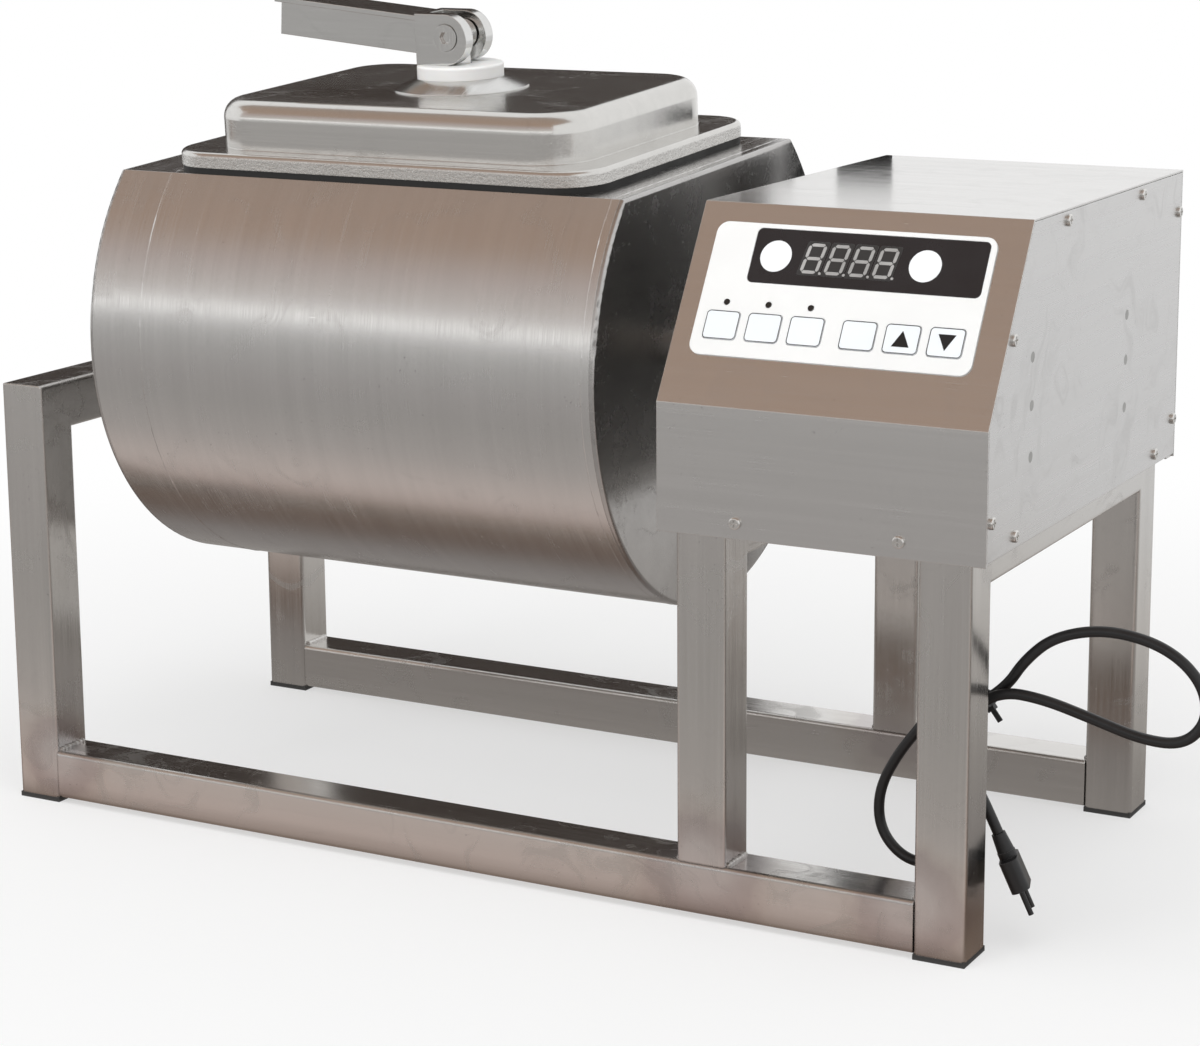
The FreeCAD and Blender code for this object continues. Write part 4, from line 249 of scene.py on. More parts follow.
def steel(name, colour, across, roughness=0.3, lines=0.05, smears=0.5, edge=0.0008, grain_depth=0.00002,
          anisotropy=0.0, welds=(), cross=None):
    """Brushed stainless sheet or tube. `across` counts the brush lines per metre along each axis;
    `cross` is (low y, high y, across) for the beam whose lines run the other way."""
    finish, tree, shader = new_finish(name)
    brush = use(tree, BRUSH_LINES, Across=across)
    fine, broad = brush["Fine"], brush["Broad"]
    if cross:
        depth = add(tree, "SeparateXYZ", {0: add(tree, "TexCoord").outputs["Object"]}).outputs["Y"]
        beam = calc(tree, "MULTIPLY", calc(tree, "GREATER_THAN", depth, cross[0]),
                      calc(tree, "LESS_THAN", depth, cross[1]))
        other = use(tree, BRUSH_LINES, Across=cross[2])
        fine = blend_colour(tree, beam, fine, other["Fine"])
        broad = blend_colour(tree, beam, broad, other["Broad"])
    marks = use(tree, HANDLING_MARKS, Size=13.0)
    edges = use(tree, EASED_EDGES, Radius=edge)
    shade = ramp(tree, broad, 0.25, 0.75, 1.0 - 2 * lines, 1.0 + lines)
    shade = calc(tree, "MULTIPLY", shade, ramp(tree, fine, 0.2, 0.8, 1.0 - lines, 1.0 + lines))
    shade = calc(tree, "MULTIPLY", shade, ramp(tree, marks["Smears"], 0.0, 1.0, 1.0, 1.0 - 0.12 * smears))
    shade = calc(tree, "MULTIPLY", shade, ramp(tree, marks["Specks"], 0.0, 1.0, 1.0, 0.72))
    # Painted highlight: the colour is made up to 12% brighter along the edges.
    shade = calc(tree, "MULTIPLY", shade, ramp(tree, edges["Edge"], 0.0, 1.0, 1.0, 1.12))
    tone = add(tree, "CombineColor", {0: shade, 1: shade, 2: shade}).outputs[0]
    surface = blend_colour(tree, 1.0, (*colour, 1), tone, "MULTIPLY")
    for weld, reach in welds:
        heat = use(tree, WELD_HEAT, Weld=weld, Reach=reach)
        tinted = blend_colour(tree, 1.0, surface, heat["Tint"], "MULTIPLY")
        surface = blend_colour(tree, heat["Bloom"], surface, tinted)
    tree.links.new(surface, shader.inputs["Base Color"])
    rough = ramp(tree, fine, 0.2, 0.8, roughness - 0.06, roughness + 0.06)
    rough = calc(tree, "ADD", rough, ramp(tree, marks["Smears"], 0.0, 1.0, 0.0, 0.14 * smears))
    rough = calc(tree, "SUBTRACT", rough, ramp(tree, marks["Scratches"], 0.0, 1.0, 0.0, 0.12), clamp=True)
    tree.links.new(rough, shader.inputs["Roughness"])
    bump = add(tree, "Bump", {"Strength": 1.0, "Distance": grain_depth, "Height": fine,
                              "Normal": edges["Normal"]})
    tree.links.new(bump.outputs[0], shader.inputs["Normal"])
    shader.inputs["Metallic"].default_value = 1.0
    if anisotropy:
        shader.inputs["Anisotropic"].default_value = anisotropy
        tree.links.new(add(tree, "Tangent", direction_type="RADIAL", axis="X").outputs[0],
                       shader.inputs["Tangent"])
    return finish


# The radius of a moulded piece's edges.
MOULDED_EDGE = 0.0006


def moulded(name, colour, roughness=0.5, dimples=900.0, skin_depth=0.00004, metallic=0.0, fade=0.12,
            coat=0.0, through=0.0):
    """Plastic, rubber, paint, film or cast metal: an even colour with a dimpled skin, paler towards the
    edges.
    `dimples` counts them per metre, and `through` is the share of light that passes inside."""
    finish, tree, shader = new_finish(name)
    skin = use(tree, MOULDED_SKIN, Dimples=dimples)
    edges = use(tree, EASED_EDGES, Radius=MOULDED_EDGE)
    pale = tuple(min(1.0, c + 0.10 * (1.0 - c)) for c in colour)
    dark = tuple(c * (1.0 - fade) for c in colour)
    surface = blend_colour(tree, ramp(tree, skin["Cloud"], 0.3, 0.7), (*dark, 1), (*colour, 1))
    surface = blend_colour(tree, ramp(tree, edges["Edge"], 0.0, 1.0, 0.0, 0.6), surface, (*pale, 1))
    tree.links.new(surface, shader.inputs["Base Color"])
    tree.links.new(ramp(tree, skin["Cloud"], 0.25, 0.75, roughness - 0.06, roughness + 0.08),
                   shader.inputs["Roughness"])
    bump = add(tree, "Bump", {"Strength": 1.0, "Distance": skin_depth, "Height": skin["Skin"],
                              "Normal": edges["Normal"]})
    tree.links.new(bump.outputs[0], shader.inputs["Normal"])
    shader.inputs["Metallic"].default_value = metallic
    shader.inputs["Coat Weight"].default_value = coat
    if through:
        shader.inputs["Subsurface Weight"].default_value = through
        shader.inputs["Subsurface Radius"].default_value = (0.006, 0.005, 0.004)
    return finish


# The flange's height above the lid's seat.
FLANGE_TOP = 0.0125


def ground_edge_steel(name, colour):
    """The lid's pressed sheet: satin on top, with the flange's edge ground coarse and bright."""
    finish = steel(name, colour, across=(5, 700, 700), roughness=0.20, lines=0.012, smears=0.4,
                   edge=0.0012, grain_depth=0.000008)
    tree, shader = finish.node_tree, finish.node_tree.nodes["Principled BSDF"]
    place = add(tree, "TexCoord").outputs["Object"]
    above = add(tree, "VectorMath", {0: place, 1: LID_SEAT}, operation="SUBTRACT").outputs[0]
    height = add(tree, "VectorMath", {0: above, 1: LID_AXIS}, operation="DOT_PRODUCT").outputs["Value"]
    facing = add(tree, "NewGeometry").outputs["Normal"]
    level = add(tree, "VectorMath", {0: facing, 1: LID_AXIS}, operation="DOT_PRODUCT").outputs["Value"]
    rim = calc(tree, "MULTIPLY", ramp(tree, height, FLANGE_TOP + 0.0025, FLANGE_TOP),
                 ramp(tree, calc(tree, "ABSOLUTE", level), 0.80, 0.45))
    nicks = add(tree, "Mapping", {"Vector": place, "Rotation": (0.0, 0.0, 0.6),
                                  "Scale": (210.0, 210.0, 520.0)}).outputs[0]
    ground = noise(tree, nicks, 1.0, 4.0, 0.7)
    rough = shader.inputs["Roughness"].links[0].from_socket
    tree.links.new(blend_colour(tree, rim, rough, ramp(tree, ground, 0.35, 0.65, 0.08, 0.34)),
                   shader.inputs["Roughness"])
    smooth = shader.inputs["Normal"].links[0].from_socket
    scarred = add(tree, "Bump", {"Strength": rim, "Distance": 0.0011, "Height": ground, "Normal": smooth})
    tree.links.new(scarred.outputs[0], shader.inputs["Normal"])
    return finish


# ---- Mesh helpers ---------------------------------------------------------------------------

def new_piece(name, mesh_parts, body, finish):
    """One mesh piece from (points, faces) parts, on its body and with its finish."""
    points, faces = [], []
    for part_points, part_faces in mesh_parts:
        faces += [[len(points) + i for i in face] for face in part_faces]
        points += part_points
    mesh = bpy.data.meshes.new(name)
    mesh.from_pydata([tuple(p) for p in points], [], faces)
    mesh.materials.append(finish)
    shaped = bmesh.new()
    shaped.from_mesh(mesh)
    bmesh.ops.recalc_face_normals(shaped, faces=shaped.faces)
    shaped.to_mesh(mesh)
    shaped.free()
    mesh.update()
    piece = bpy.data.objects.new(name, mesh)
    bpy.context.collection.objects.link(piece)
    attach(piece, body)
    return piece


def plate(outline, depth, put):
    """A flat plate between two copies of an outline; `put` turns (across, up, out) into a place."""
    count = len(outline)
    points = [put(x, y, 0.0) for x, y in outline] + [put(x, y, depth) for x, y in outline]
    sides = [[i, (i + 1) % count, count + (i + 1) % count, count + i] for i in range(count)]
    return points, sides + [list(range(count))[::-1], list(range(count, 2 * count))]


def frame_plate(outer, inner, depth, put):
    """A plate with a hole: a line drawn round a key."""
    count = len(outer)
    rings = [[put(x, y, out) for x, y in loop] for loop, out in
             ((outer, 0.0), (outer, depth), (inner, depth), (inner, 0.0))]
    faces = []
    for ring in range(4):
        for i in range(count):
            a, b = ring * count, (ring + 1) % 4 * count
            faces.append([a + i, a + (i + 1) % count, b + (i + 1) % count, b + i])
    return [p for ring in rings for p in ring], faces


def rounded_outline(x, y, width, height, corner, steps=6):
    points = []
    for turn, (side, rise) in enumerate(((1, 1), (-1, 1), (-1, -1), (1, -1))):
        for step in range(steps + 1):
            angle = math.pi / 2 * (turn + step / steps)
            points.append((x + side * (width / 2 - corner) + corner * math.cos(angle),
                           y + rise * (height / 2 - corner) + corner * math.sin(angle)))
    return points


def disc_outline(x, y, radius, steps=40):
    return [(x + radius * math.cos(2 * math.pi * i / steps), y + radius * math.sin(2 * math.pi * i / steps))
            for i in range(steps)]


# ---- Control panel print --------------------------------------------------------------------

def panel_place(out):
    """Turns a place on the panel, in metres from the fold's left end, into a point."""
    return lambda x, y, z: PANEL_FOLD + PANEL_ACROSS * x + PANEL_UP * y + PANEL_OUT * (out + z)


def panel_span(node):
    """Low and high places of a node across, up and out of the panel."""
    spots = [v.co - PANEL_FOLD for v in NODES[node].data.vertices]
    return [(min(p.dot(way) for p in spots), max(p.dot(way) for p in spots))
            for way in (PANEL_ACROSS, PANEL_UP, PANEL_OUT)]


# The print's thickness, then the display's figures, their blocks and points, and its two discs.
PRINT = 0.00012
DIGIT_SIZE, DIGIT_PITCH, DIGIT_SLANT, FIRST_DIGIT = (0.0118, 0.0212), 0.0187, 0.16, 0.0483
SEGMENT_HALF_WIDTH, SEGMENT_GAP = 0.00125, 0.0004
BLOCK_SIZE, BLOCK_CORNER = (0.0176, 0.0268), 0.0016
POINT_PLACE, POINT_RADIUS = (0.0072, -0.0112), 0.0011
DISC_PLACES, DISC_RADIUS = (0.0185, 0.1345), 0.0123
# How much smaller than the key its line's outer and inner loops are, and their corner radii.
KEY_LINE_LOOPS = ((0.0002, 0.0031), (0.0013, 0.0026))
ARROW_HALF_WIDTH, ARROW_FOOT, ARROW_TIP = 0.0067, 0.0060, 0.0062
SEGMENTS = [((-1, 1), (1, 1)), ((-1, 0), (1, 0)), ((-1, -1), (1, -1)),
            ((-1, 1), (-1, 0)), ((1, 1), (1, 0)), ((-1, 0), (-1, -1)), ((1, 0), (1, -1))]


def segment_outline(x, y, first, second):
    """One bar of a digit, pointed at both ends, leaning with the digit."""
    half_wide, half_tall, half_bar = DIGIT_SIZE[0] / 2, DIGIT_SIZE[1] / 2, SEGMENT_HALF_WIDTH
    low = Vector((first[0] * half_wide, first[1] * half_tall))
    high = Vector((second[0] * half_wide, second[1] * half_tall))
    along = (high - low).normalized()
    side = Vector((-along.y, along.x)) * half_bar
    low, high = low + along * SEGMENT_GAP, high - along * SEGMENT_GAP
    corners = [low, low + along * half_bar + side, high - along * half_bar + side, high,
               high - along * half_bar - side, low + along * half_bar - side]
    return [(x + c.x + DIGIT_SLANT * c.y, y + c.y) for c in corners]


def display_print(lens_black, digit_grey, block_grey, print_white):
    """Four unlit digits on their blocks and two white discs, under the lens's face."""
    (low_x, high_x), (low_y, high_y), (_, face) = panel_span("display_window")
    middle = (low_y + high_y) / 2
    put = panel_place(face)
    blocks, digits = [], []
    for index in range(4):
        x = low_x + FIRST_DIGIT + index * DIGIT_PITCH
        block = [(x + a + DIGIT_SLANT * b, middle + b) for a, b in
                 rounded_outline(0, 0, *BLOCK_SIZE, BLOCK_CORNER, 3)]
        blocks.append(plate(block, PRINT, put))
        digits += [plate(segment_outline(x, middle, *bar), 2 * PRINT, put) for bar in SEGMENTS]
        point = disc_outline(x + POINT_PLACE[0], middle + POINT_PLACE[1], POINT_RADIUS, 12)
        digits.append(plate(point, 2 * PRINT, put))
    new_piece("digit_blocks", blocks, "frame", block_grey)
    new_piece("digits", digits, "frame", digit_grey)
    discs = [plate(disc_outline(low_x + x, middle, DISC_RADIUS), PRINT, put) for x in DISC_PLACES]
    new_piece("white_discs", discs, "frame", print_white)


def key_print(ink):
    """A thin rounded line round each key, and a triangle on the up and down keys."""
    for key in ("key_one", "key_two", "key_three", "key_four", "key_up", "key_down"):
        (low_x, high_x), (low_y, high_y), (_, face) = panel_span(key)
        wide, tall = high_x - low_x, high_y - low_y
        x, y = (low_x + high_x) / 2, (low_y + high_y) / 2
        put = panel_place(face)
        outer, inner = (rounded_outline(x, y, wide - less, tall - less, corner)
                        for less, corner in KEY_LINE_LOOPS)
        parts = [frame_plate(outer, inner, PRINT, put)]
        if key in ("key_up", "key_down"):
            rise = 1 if key == "key_up" else -1
            foot = y - rise * ARROW_FOOT
            arrow = [(x - ARROW_HALF_WIDTH, foot), (x + ARROW_HALF_WIDTH, foot),
                     (x, y + rise * ARROW_TIP)][::rise]
            parts.append(plate(arrow, PRINT, put))
        new_piece(key + "_line", parts, key, ink)


# ---- Weld beads -----------------------------------------------------------------------------

def bead(path, radius, seed, closed=False, round_steps=8):
    """A weld bead: a rounded ridge along a path, rippled as the torch moved on."""
    points, faces, count = [], [], len(path)
    for i, place in enumerate(path):
        ahead = path[(i + 1) % count] if closed or i + 1 < count else place
        back = path[i - 1] if closed or i else place
        along = (ahead - back).normalized()
        side = along.cross(Vector((0.31, 0.52, 0.79))).normalized()
        other = along.cross(side)
        swell = radius * (1 + 0.16 * math.sin(i * 2.1 + seed) + 0.08 * math.sin(i * 0.83 + 2 * seed))
        if not closed and i in (0, count - 1):
            swell *= 0.45
        for step in range(round_steps):
            angle = 2 * math.pi * step / round_steps
            points.append(place + side * swell * math.cos(angle) + other * swell * math.sin(angle))
    for i in range(count if closed else count - 1):
        for step in range(round_steps):
            a, b = i * round_steps, (i + 1) % count * round_steps
            faces.append([a + step, a + (step + 1) % round_steps, b + (step + 1) % round_steps, b + step])
    if not closed:
        faces += [list(range(round_steps))[::-1], list(range((count - 1) * round_steps,
                                                              count * round_steps))]
    return points, faces


def straight_path(start, end, pace=0.0016):
    start, end = Vector(start), Vector(end)
    count = max(4, int((end - start).length / pace))
    return [start.lerp(end, i / count) for i in range(count + 1)]


# A bead's radius, how far it stands off the corner and how far it stops short of the tube's side.
BEAD_RADIUS, BEAD_REACH, BEAD_SETBACK = 0.0019, 0.0007, 0.004
SEED_STEP = 1.3


def frame_welds(finish):
    """Beads in the inner corners where the posts meet the rails and the cross beams."""
    beads, seed = [], 0.0
    for rail in ("front_bottom_rail", "rear_bottom_rail"):
        low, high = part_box(rail)
        near, far, top = low.y + BEAD_SETBACK, high.y - BEAD_SETBACK, high.z + BEAD_REACH
        for portal, sides in (("idle_end_portal", (1,)), ("middle_portal", (-1, 1)),
                              ("cabinet_end_portal", (-1,))):
            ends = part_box(portal)
            for side in sides:
                x = ends[1].x + BEAD_REACH if side > 0 else ends[0].x - BEAD_REACH
                seed += SEED_STEP
                beads.append(bead(straight_path((x, near, top), (x, far, top)), BEAD_RADIUS, seed))
    for portal in ("idle_end_portal", "middle_portal", "cabinet_end_portal"):
        low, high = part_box(portal)
        left, right, under = low.x + BEAD_SETBACK, high.x - BEAD_SETBACK, high.z - TUBE - BEAD_REACH
        for y in (low.y + TUBE + BEAD_REACH, high.y - TUBE - BEAD_REACH):
            seed += SEED_STEP
            beads.append(bead(straight_path((left, y, under), (right, y, under)), BEAD_RADIUS, seed))
    new_piece("frame_welds", beads, "frame", finish)


def drum_outline(radius_change, steps=220):
    """The drum's own section: a circle about the axle with a flat where the lid sits."""
    spots = [v.co for v in NODES["drum_shell"].data.vertices]
    radius = max(math.hypot(p.y - AXLE.y, p.z - AXLE.z) for p in spots) + radius_change
    flat = max((p - AXLE).dot(LID_AXIS) for p in spots) + radius_change
    outline = []
    for i in range(steps):
        angle = 2 * math.pi * i / steps
        way = Vector((0.0, math.sin(angle), math.cos(angle)))
        rise = way.dot(LID_AXIS)
        reach = flat / rise if radius * rise > flat else radius
        outline.append(way * reach + Vector((0.0, AXLE.y, AXLE.z)))
    return outline


# How far the seams lie from the drum's left and right ends.
IDLE_SEAM, DRIVE_SEAM = 0.0465, 0.0065


def drum_seams(finish):
    """The dressed seams where the ends are welded into the rolled shell."""
    parts = []
    for x, radius, change in ((DRUM_LEFT + IDLE_SEAM, 0.0007, -0.00045),
                              (DRUM_RIGHT - DRIVE_SEAM, 0.0006, -0.0004)):
        path = [Vector((x, p.y, p.z)) for p in drum_outline(change)]
        parts.append(bead(path, radius, x * 40, closed=True, round_steps=6))
    new_piece("drum_seams", parts, "drum", finish)


# ---- Floor, cards and lamps -----------------------------------------------------------------

def flat_sheet(name, corners, material):
    mesh = bpy.data.meshes.new(name)
    mesh.from_pydata(corners, [], [list(range(len(corners)))])
    mesh.materials.append(material)
    sheet = bpy.data.objects.new(name, mesh)
    bpy.context.collection.objects.link(sheet)
    return sheet


def studio_floor():
    """A pale floor that keeps a soft shadow near the machine and fades to white further out."""
    finish, tree, shader = new_finish("studio_floor")
    shader.inputs["Base Color"].default_value = (0.86, 0.86, 0.86, 1)
    shader.inputs["Roughness"].default_value = 0.9
    glow = add(tree, "Emission", {"Color": (1, 1, 1, 1), "Strength": 1.0})
    place = add(tree, "TexCoord").outputs["Object"]
    far = add(tree, "VectorMath", {0: place, 1: (0.0, 0.0, 0.0)}, operation="DISTANCE").outputs["Value"]
    share = ramp(tree, far, 0.35, 1.5, 0.55, 1.0)
    both = add(tree, "MixShader", {0: share, 1: shader.outputs[0], 2: glow.outputs[0]})
    tree.links.new(both.outputs[0], tree.nodes["Material Output"].inputs["Surface"])
    flat_sheet("studio_floor", [(-9, -9, -0.0002), (9, -9, -0.0002), (9, 9, -0.0002), (-9, 9, -0.0002)],
               finish)


def reflector(name, corners, axis, stops):
    """A card seen only in the steel's reflections. Its stops are (place along the axis, colour)."""
    finish, tree, shader = new_finish(name)
    place = add(tree, "SeparateXYZ", {0: add(tree, "TexCoord").outputs["Object"]}).outputs[axis]
    first, last = stops[0][0], stops[-1][0]
    share = add(tree, "MapRange", {"Value": place, "From Min": first, "From Max": last}).outputs[0]
    shades = add(tree, "ValToRGB", {"Fac": share})
    spots = shades.color_ramp.elements
    for index, (where, colour) in enumerate(stops):
        spot = spots[index] if index < 2 else spots.new(1.0)
        spot.position = (where - first) / (last - first)
        spot.color = (*(c / 2 for c in colour), 1)
    glow = add(tree, "Emission", {"Color": shades.outputs[0], "Strength": 2.0})
    tree.links.new(glow.outputs[0], tree.nodes["Material Output"].inputs["Surface"])
    card = flat_sheet(name, corners, finish)
    card.visible_camera = card.visible_diffuse = card.visible_shadow = False
    card.visible_transmission = card.visible_volume_scatter = False


def lamp(name, place, aim, size, power):
    light = bpy.data.lights.new(name, "AREA")
    light.shape, light.size, light.size_y, light.energy = "RECTANGLE", size[0], size[1], power
    holder = bpy.data.objects.new(name, light)
    bpy.context.collection.objects.link(holder)
    holder.location = place
    holder.rotation_euler = (Vector(aim) - Vector(place)).to_track_quat("-Z", "Y").to_euler()
    holder.visible_camera = holder.visible_glossy = False


def studio():
    world = bpy.data.worlds.new("white_room")
    bpy.context.scene.world = world
    world.use_nodes = True
    tree = world.node_tree
    path = add(tree, "LightPath").outputs
    seen = calc(tree, "MAXIMUM", path["Is Camera Ray"],
                  calc(tree, "MAXIMUM", path["Is Glossy Ray"], path["Is Transmission Ray"]))
    tree.links.new(ramp(tree, seen, 0.0, 1.0, 0.62, 1.0), tree.nodes["Background"].inputs["Strength"])
    tree.nodes["Background"].inputs["Color"].default_value = (1, 1, 1, 1)
    studio_floor()
    front, left, right, top = -4.2, -6.0, 4.0, 5.0
    reflector("front_wall_card",
              [(left, front, 0), (right, front, 0), (right, front, top), (left, front, top)],
              "Z", [(0.0, (0.47, 0.46, 0.45)), (0.32, (0.50, 0.50, 0.49)), (0.72, (0.60, 0.60, 0.59)),
                    (0.86, (0.64, 0.64, 0.63)), (0.94, (1.60, 1.60, 1.60)), (1.24, (1.60, 1.60, 1.60)),
                    (1.34, (0.70, 0.67, 0.65)), (1.76, (0.66, 0.62, 0.59)), (3.1, (0.55, 0.47, 0.44)),
                    (4.4, (0.46, 0.35, 0.28)), (5.0, (0.45, 0.34, 0.27))])
    reflector("ceiling_card", [(left, front, top), (right, front, top), (right, 0.6, top), (left, 0.6, top)],
              "Y", [(front, (0.45, 0.33, 0.26)), (-1.5, (0.44, 0.34, 0.28)), (0.6, (0.40, 0.34, 0.30))])
    reflector("front_floor_card", [(left, front, 0.002), (right, front, 0.002), (right, 0.30, 0.002),
                                   (left, 0.30, 0.002)],
              "Y", [(front, (0.46, 0.45, 0.44)), (-2.0, (0.44, 0.43, 0.42)), (-1.1, (0.40, 0.38, 0.37)),
                    (-0.75, (0.38, 0.365, 0.35)), (-0.46, (0.45, 0.42, 0.40)), (-0.30, (0.62, 0.54, 0.50)),
                    (-0.24, (0.56, 0.46, 0.42)), (-0.20, (0.20, 0.15, 0.12)), (-0.10, (0.16, 0.12, 0.10)),
                    (0.0, (0.26, 0.24, 0.23)), (0.30, (0.34, 0.32, 0.30))])
    reflector("back_floor_card", [(left, 0.30, 0.002), (right, 0.30, 0.002), (right, 6.0, 0.002),
                                  (left, 6.0, 0.002)],
              "Y", [(0.30, (0.34, 0.32, 0.30)), (0.75, (0.62, 0.60, 0.58)), (1.3, (0.74, 0.74, 0.74)),
                    (6.0, (0.80, 0.80, 0.80))])
    reflector("dark_left_card", [(-3.0, 1.3, 0.0), (-0.45, 1.3, 0.0), (-0.45, 1.3, 1.5), (-3.0, 1.3, 1.5)],
              "Z", [(0.0, (0.06, 0.05, 0.045)), (1.5, (0.05, 0.04, 0.035))])
    gap_left, gap_right = DRUM_RIGHT + 0.004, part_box("cabinet_cover")[0].x - 0.001
    reflector("gap_shade_card", [(gap_left, 0.225, 0.15), (gap_right, 0.225, 0.15), (gap_right, 0.225, 0.56),
                                 (gap_left, 0.225, 0.56)],
              "Z", [(0.15, (0.10, 0.10, 0.10)), (0.30, (0.01, 0.01, 0.01)), (0.56, (0.01, 0.01, 0.01))])
    lamp("window_lamp", (-1.35, -3.0, 1.05), (0.0, 0.0, 0.42), (1.5, 0.5), 26.0)
    lamp("soft_top_lamp", (0.4, -0.9, 2.6), (0.0, 0.0, 0.3), (2.0, 2.0), 30.0)


place_camera()
lead = mains_lead()
studio()

# ---- Finishes -------------------------------------------------------------------------------

BEAM_LOW, BEAM_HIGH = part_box("middle_portal")[0].y + TUBE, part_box("middle_portal")[1].y - TUBE
JOINT_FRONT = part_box("middle_portal")[0] + Vector((TUBE / 2, 0.0, 0.0))
JOINT_REAR = Vector((JOINT_FRONT.x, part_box("middle_portal")[1].y, JOINT_FRONT.z))
END_FRONT = Vector((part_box("idle_end_portal")[1].x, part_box("idle_end_portal")[0].y, TUBE))
CAB_FRONT = Vector((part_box("cabinet_end_portal")[0].x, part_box("cabinet_end_portal")[0].y, TUBE))

WARM_STEEL = (0.66, 0.645, 0.625)
rail_steel = steel("rail_steel", WARM_STEEL, across=(7, 620, 620), roughness=0.20, lines=0.02, smears=0.9,
                   edge=0.0020, welds=[(JOINT_FRONT, 0.075), (JOINT_REAR, 0.075), (END_FRONT, 0.06),
                                       (CAB_FRONT, 0.07)])
portal_steel = steel("portal_steel", WARM_STEEL, across=(620, 620, 7), roughness=0.20, lines=0.02,
                     smears=0.8, edge=0.0020, cross=(BEAM_LOW, BEAM_HIGH, (620, 7, 620)),
                     welds=[(JOINT_FRONT, 0.06), (JOINT_REAR, 0.06), (END_FRONT, 0.05), (CAB_FRONT, 0.06)])
drum_steel = steel("drum_steel", (0.66, 0.65, 0.64), across=(760, 5, 5), roughness=0.21, lines=0.014,
                   smears=0.35, edge=0.0006, grain_depth=0.00001, anisotropy=0.4)
drum_end_steel = steel("drum_end_steel", (0.50, 0.49, 0.48), across=(90, 300, 300), roughness=0.22,
                       lines=0.03, smears=0.6, edge=0.0012)
rim_steel = steel("rim_steel", WARM_STEEL, across=(9, 400, 400), roughness=0.26, lines=0.03, smears=0.6)
lid_steel = ground_edge_steel("lid_steel", (0.67, 0.66, 0.64))
cabinet_steel = steel("cabinet_steel", (0.68, 0.672, 0.66), across=(5, 680, 680), roughness=0.21,
                      lines=0.010, smears=0.2, edge=0.0009, grain_depth=0.000008)
side_steel = steel("side_steel", (0.70, 0.695, 0.69), across=(300, 6, 560), roughness=0.30, lines=0.010,
                   smears=0.6, edge=0.0009, grain_depth=0.000008)
plate_steel = steel("plate_steel", WARM_STEEL, across=(8, 420, 420), roughness=0.26, lines=0.03,
                    smears=0.6)
turned_steel = steel("turned_steel", (0.70, 0.70, 0.69), across=(900, 12, 12), roughness=0.20, lines=0.03,
                     smears=0.3, edge=0.0005)
clamp_steel = steel("clamp_steel", (0.70, 0.70, 0.69), across=(10, 500, 500), roughness=0.15, lines=0.012,
                    smears=0.5, edge=0.0010, grain_depth=0.000006)
screw_steel = steel("screw_steel", (0.72, 0.71, 0.69), across=(300, 300, 300), roughness=0.22, lines=0.03,
                    smears=0.3, edge=0.0003)
stud_steel = steel("stud_steel", (0.42, 0.42, 0.41), across=(240, 240, 240), roughness=0.42, lines=0.05,
                   smears=0.6, edge=0.0004)
gear_steel = steel("gear_steel", (0.52, 0.51, 0.50), across=(500, 30, 30), roughness=0.36, lines=0.05,
                   smears=0.6, edge=0.0004)
weld_steel = steel("weld_steel", (0.60, 0.585, 0.57), across=(300, 300, 300), roughness=0.30, lines=0.06,
                   smears=0.9, edge=0.0004, grain_depth=0.00006)
seam_steel = steel("seam_steel", (0.70, 0.69, 0.68), across=(300, 60, 60), roughness=0.22, lines=0.04,
                   smears=0.4, edge=0.0003)

cast_grey = moulded("cast_grey", (0.30, 0.31, 0.31), roughness=0.52, dimples=420.0, skin_depth=0.00015,
                    metallic=0.3)
motor_blue_grey = moulded("motor_blue_grey", (0.20, 0.23, 0.26), roughness=0.45, dimples=500.0,
                          skin_depth=0.00008)
pump_body = moulded("pump_body", (0.12, 0.12, 0.125), roughness=0.48, dimples=600.0, skin_depth=0.00008)
foot_rubber = moulded("foot_rubber", (0.035, 0.034, 0.033), roughness=0.72, dimples=700.0,
                      skin_depth=0.00010)
gasket_rubber = moulded("gasket_rubber", (0.012, 0.012, 0.012), roughness=0.62, dimples=700.0,
                        skin_depth=0.00006)
lead_rubber = moulded("lead_rubber", (0.010, 0.010, 0.011), roughness=0.36, dimples=500.0,
                      skin_depth=0.00005, fade=0.3)
black_nylon = moulded("black_nylon", (0.016, 0.016, 0.017), roughness=0.44, dimples=700.0,
                      skin_depth=0.00005)
white_nylon = moulded("white_nylon", (0.90, 0.90, 0.89), roughness=0.42, dimples=500.0,
                      skin_depth=0.00004, fade=0.03, through=0.15)
overlay_film = moulded("overlay_film", (0.80, 0.80, 0.79), roughness=0.48, dimples=1500.0,
                       skin_depth=0.00001, fade=0.02)
key_film = moulded("key_film", (0.80, 0.83, 0.86), roughness=0.42, dimples=1500.0, skin_depth=0.00001,
                   fade=0.02)
print_white = moulded("print_white", (0.84, 0.86, 0.87), roughness=0.40, dimples=1500.0,
                      skin_depth=0.00001, fade=0.02)
print_black = moulded("print_black", (0.008, 0.008, 0.009), roughness=0.42, dimples=1500.0,
                      skin_depth=0.00001)
display_black = moulded("display_black", (0.012, 0.012, 0.015), roughness=0.22, dimples=400.0,
                        skin_depth=0.000004, coat=0.3)
block_grey = moulded("block_grey", (0.030, 0.030, 0.031), roughness=0.32, dimples=1200.0,
                     skin_depth=0.00001)
digit_grey = moulded("digit_grey", (0.42, 0.41, 0.40), roughness=0.38, dimples=900.0, skin_depth=0.00004,
                     fade=0.3)
lamp_black = moulded("lamp_black", (0.010, 0.010, 0.010), roughness=0.20, dimples=900.0,
                     skin_depth=0.00001, coat=0.4)
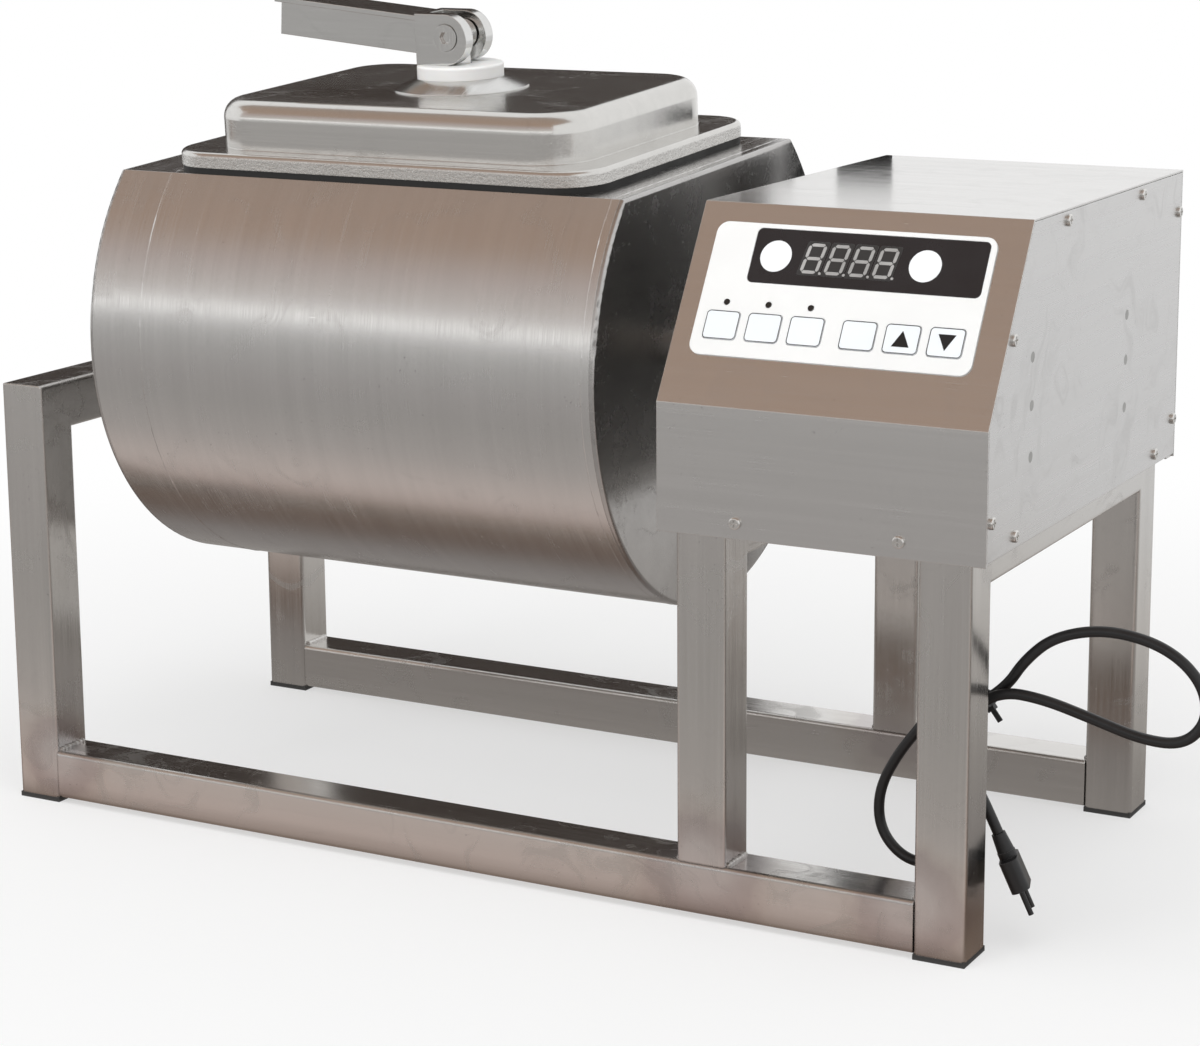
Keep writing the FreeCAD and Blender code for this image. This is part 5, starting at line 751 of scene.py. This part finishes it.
board_green = moulded("board_green", (0.02, 0.13, 0.06), roughness=0.40, dimples=300.0, skin_depth=0.00003)
hose_clear = moulded("hose_clear", (0.55, 0.56, 0.54), roughness=0.25, dimples=200.0, skin_depth=0.00005,
                     through=0.3)

FINISHES = {
    rail_steel: ["front_bottom_rail", "rear_bottom_rail"],
    portal_steel: ["idle_end_portal", "middle_portal", "cabinet_end_portal"],
    drum_steel: ["drum_shell"],
    drum_end_steel: ["drum_idle_end", "drum_drive_end", "mixing_vanes"],
    rim_steel: ["opening_rim"],
    lid_steel: ["lid"],
    cabinet_steel: ["cabinet_cover", "floor_pan"],
    side_steel: ["left_side_panel", "right_side_panel"],
    plate_steel: ["idle_bearing_seat", "drive_bearing_riser", "motor_bracket"],
    turned_steel: ["idle_axle", "drive_axle", "air_strainer", "clamp_stud", "clamp_nut", "lever_pin",
                   "rotary_union", "idle_bearing", "drive_bearing", "lid_collar"],
    clamp_steel: ["cam_lever", "clamp_bar"],
    screw_steel: ["pan_head_screws", "bearing_bolts"],
    stud_steel: ["panel_clinch_studs"],
    gear_steel: ["drive_gear", "pinion_shaft"],
    cast_grey: ["idle_bearing_housing", "drive_bearing_housing", "gearbox"],
    motor_blue_grey: ["drive_motor", "pump_motor"],
    pump_body: ["vacuum_pump"],
    foot_rubber: ["foot_pads"],
    gasket_rubber: ["lid_gasket"],
    lead_rubber: ["power_cord", "power_plug"],
    black_nylon: ["cord_gland", "cord_tie"],
    white_nylon: ["nylon_washer"],
    overlay_film: ["panel_overlay"],
    key_film: ["key_one", "key_two", "key_three", "key_four", "key_up", "key_down"],
    display_black: ["display_window"],
    lamp_black: ["indicator_lamps"],
    board_green: ["panel_board", "control_board"],
    hose_clear: ["vacuum_hose"],
}
for finish, names in FINISHES.items():
    for name in names:
        for slot in NODES[name].material_slots:
            slot.material = finish
lead.data.materials.append(lead_rubber)

display_print(display_black, digit_grey, block_grey, print_white)
key_print(print_black)
frame_welds(weld_steel)
drum_seams(seam_steel)

bpy.context.scene.view_settings.view_transform = "Standard"
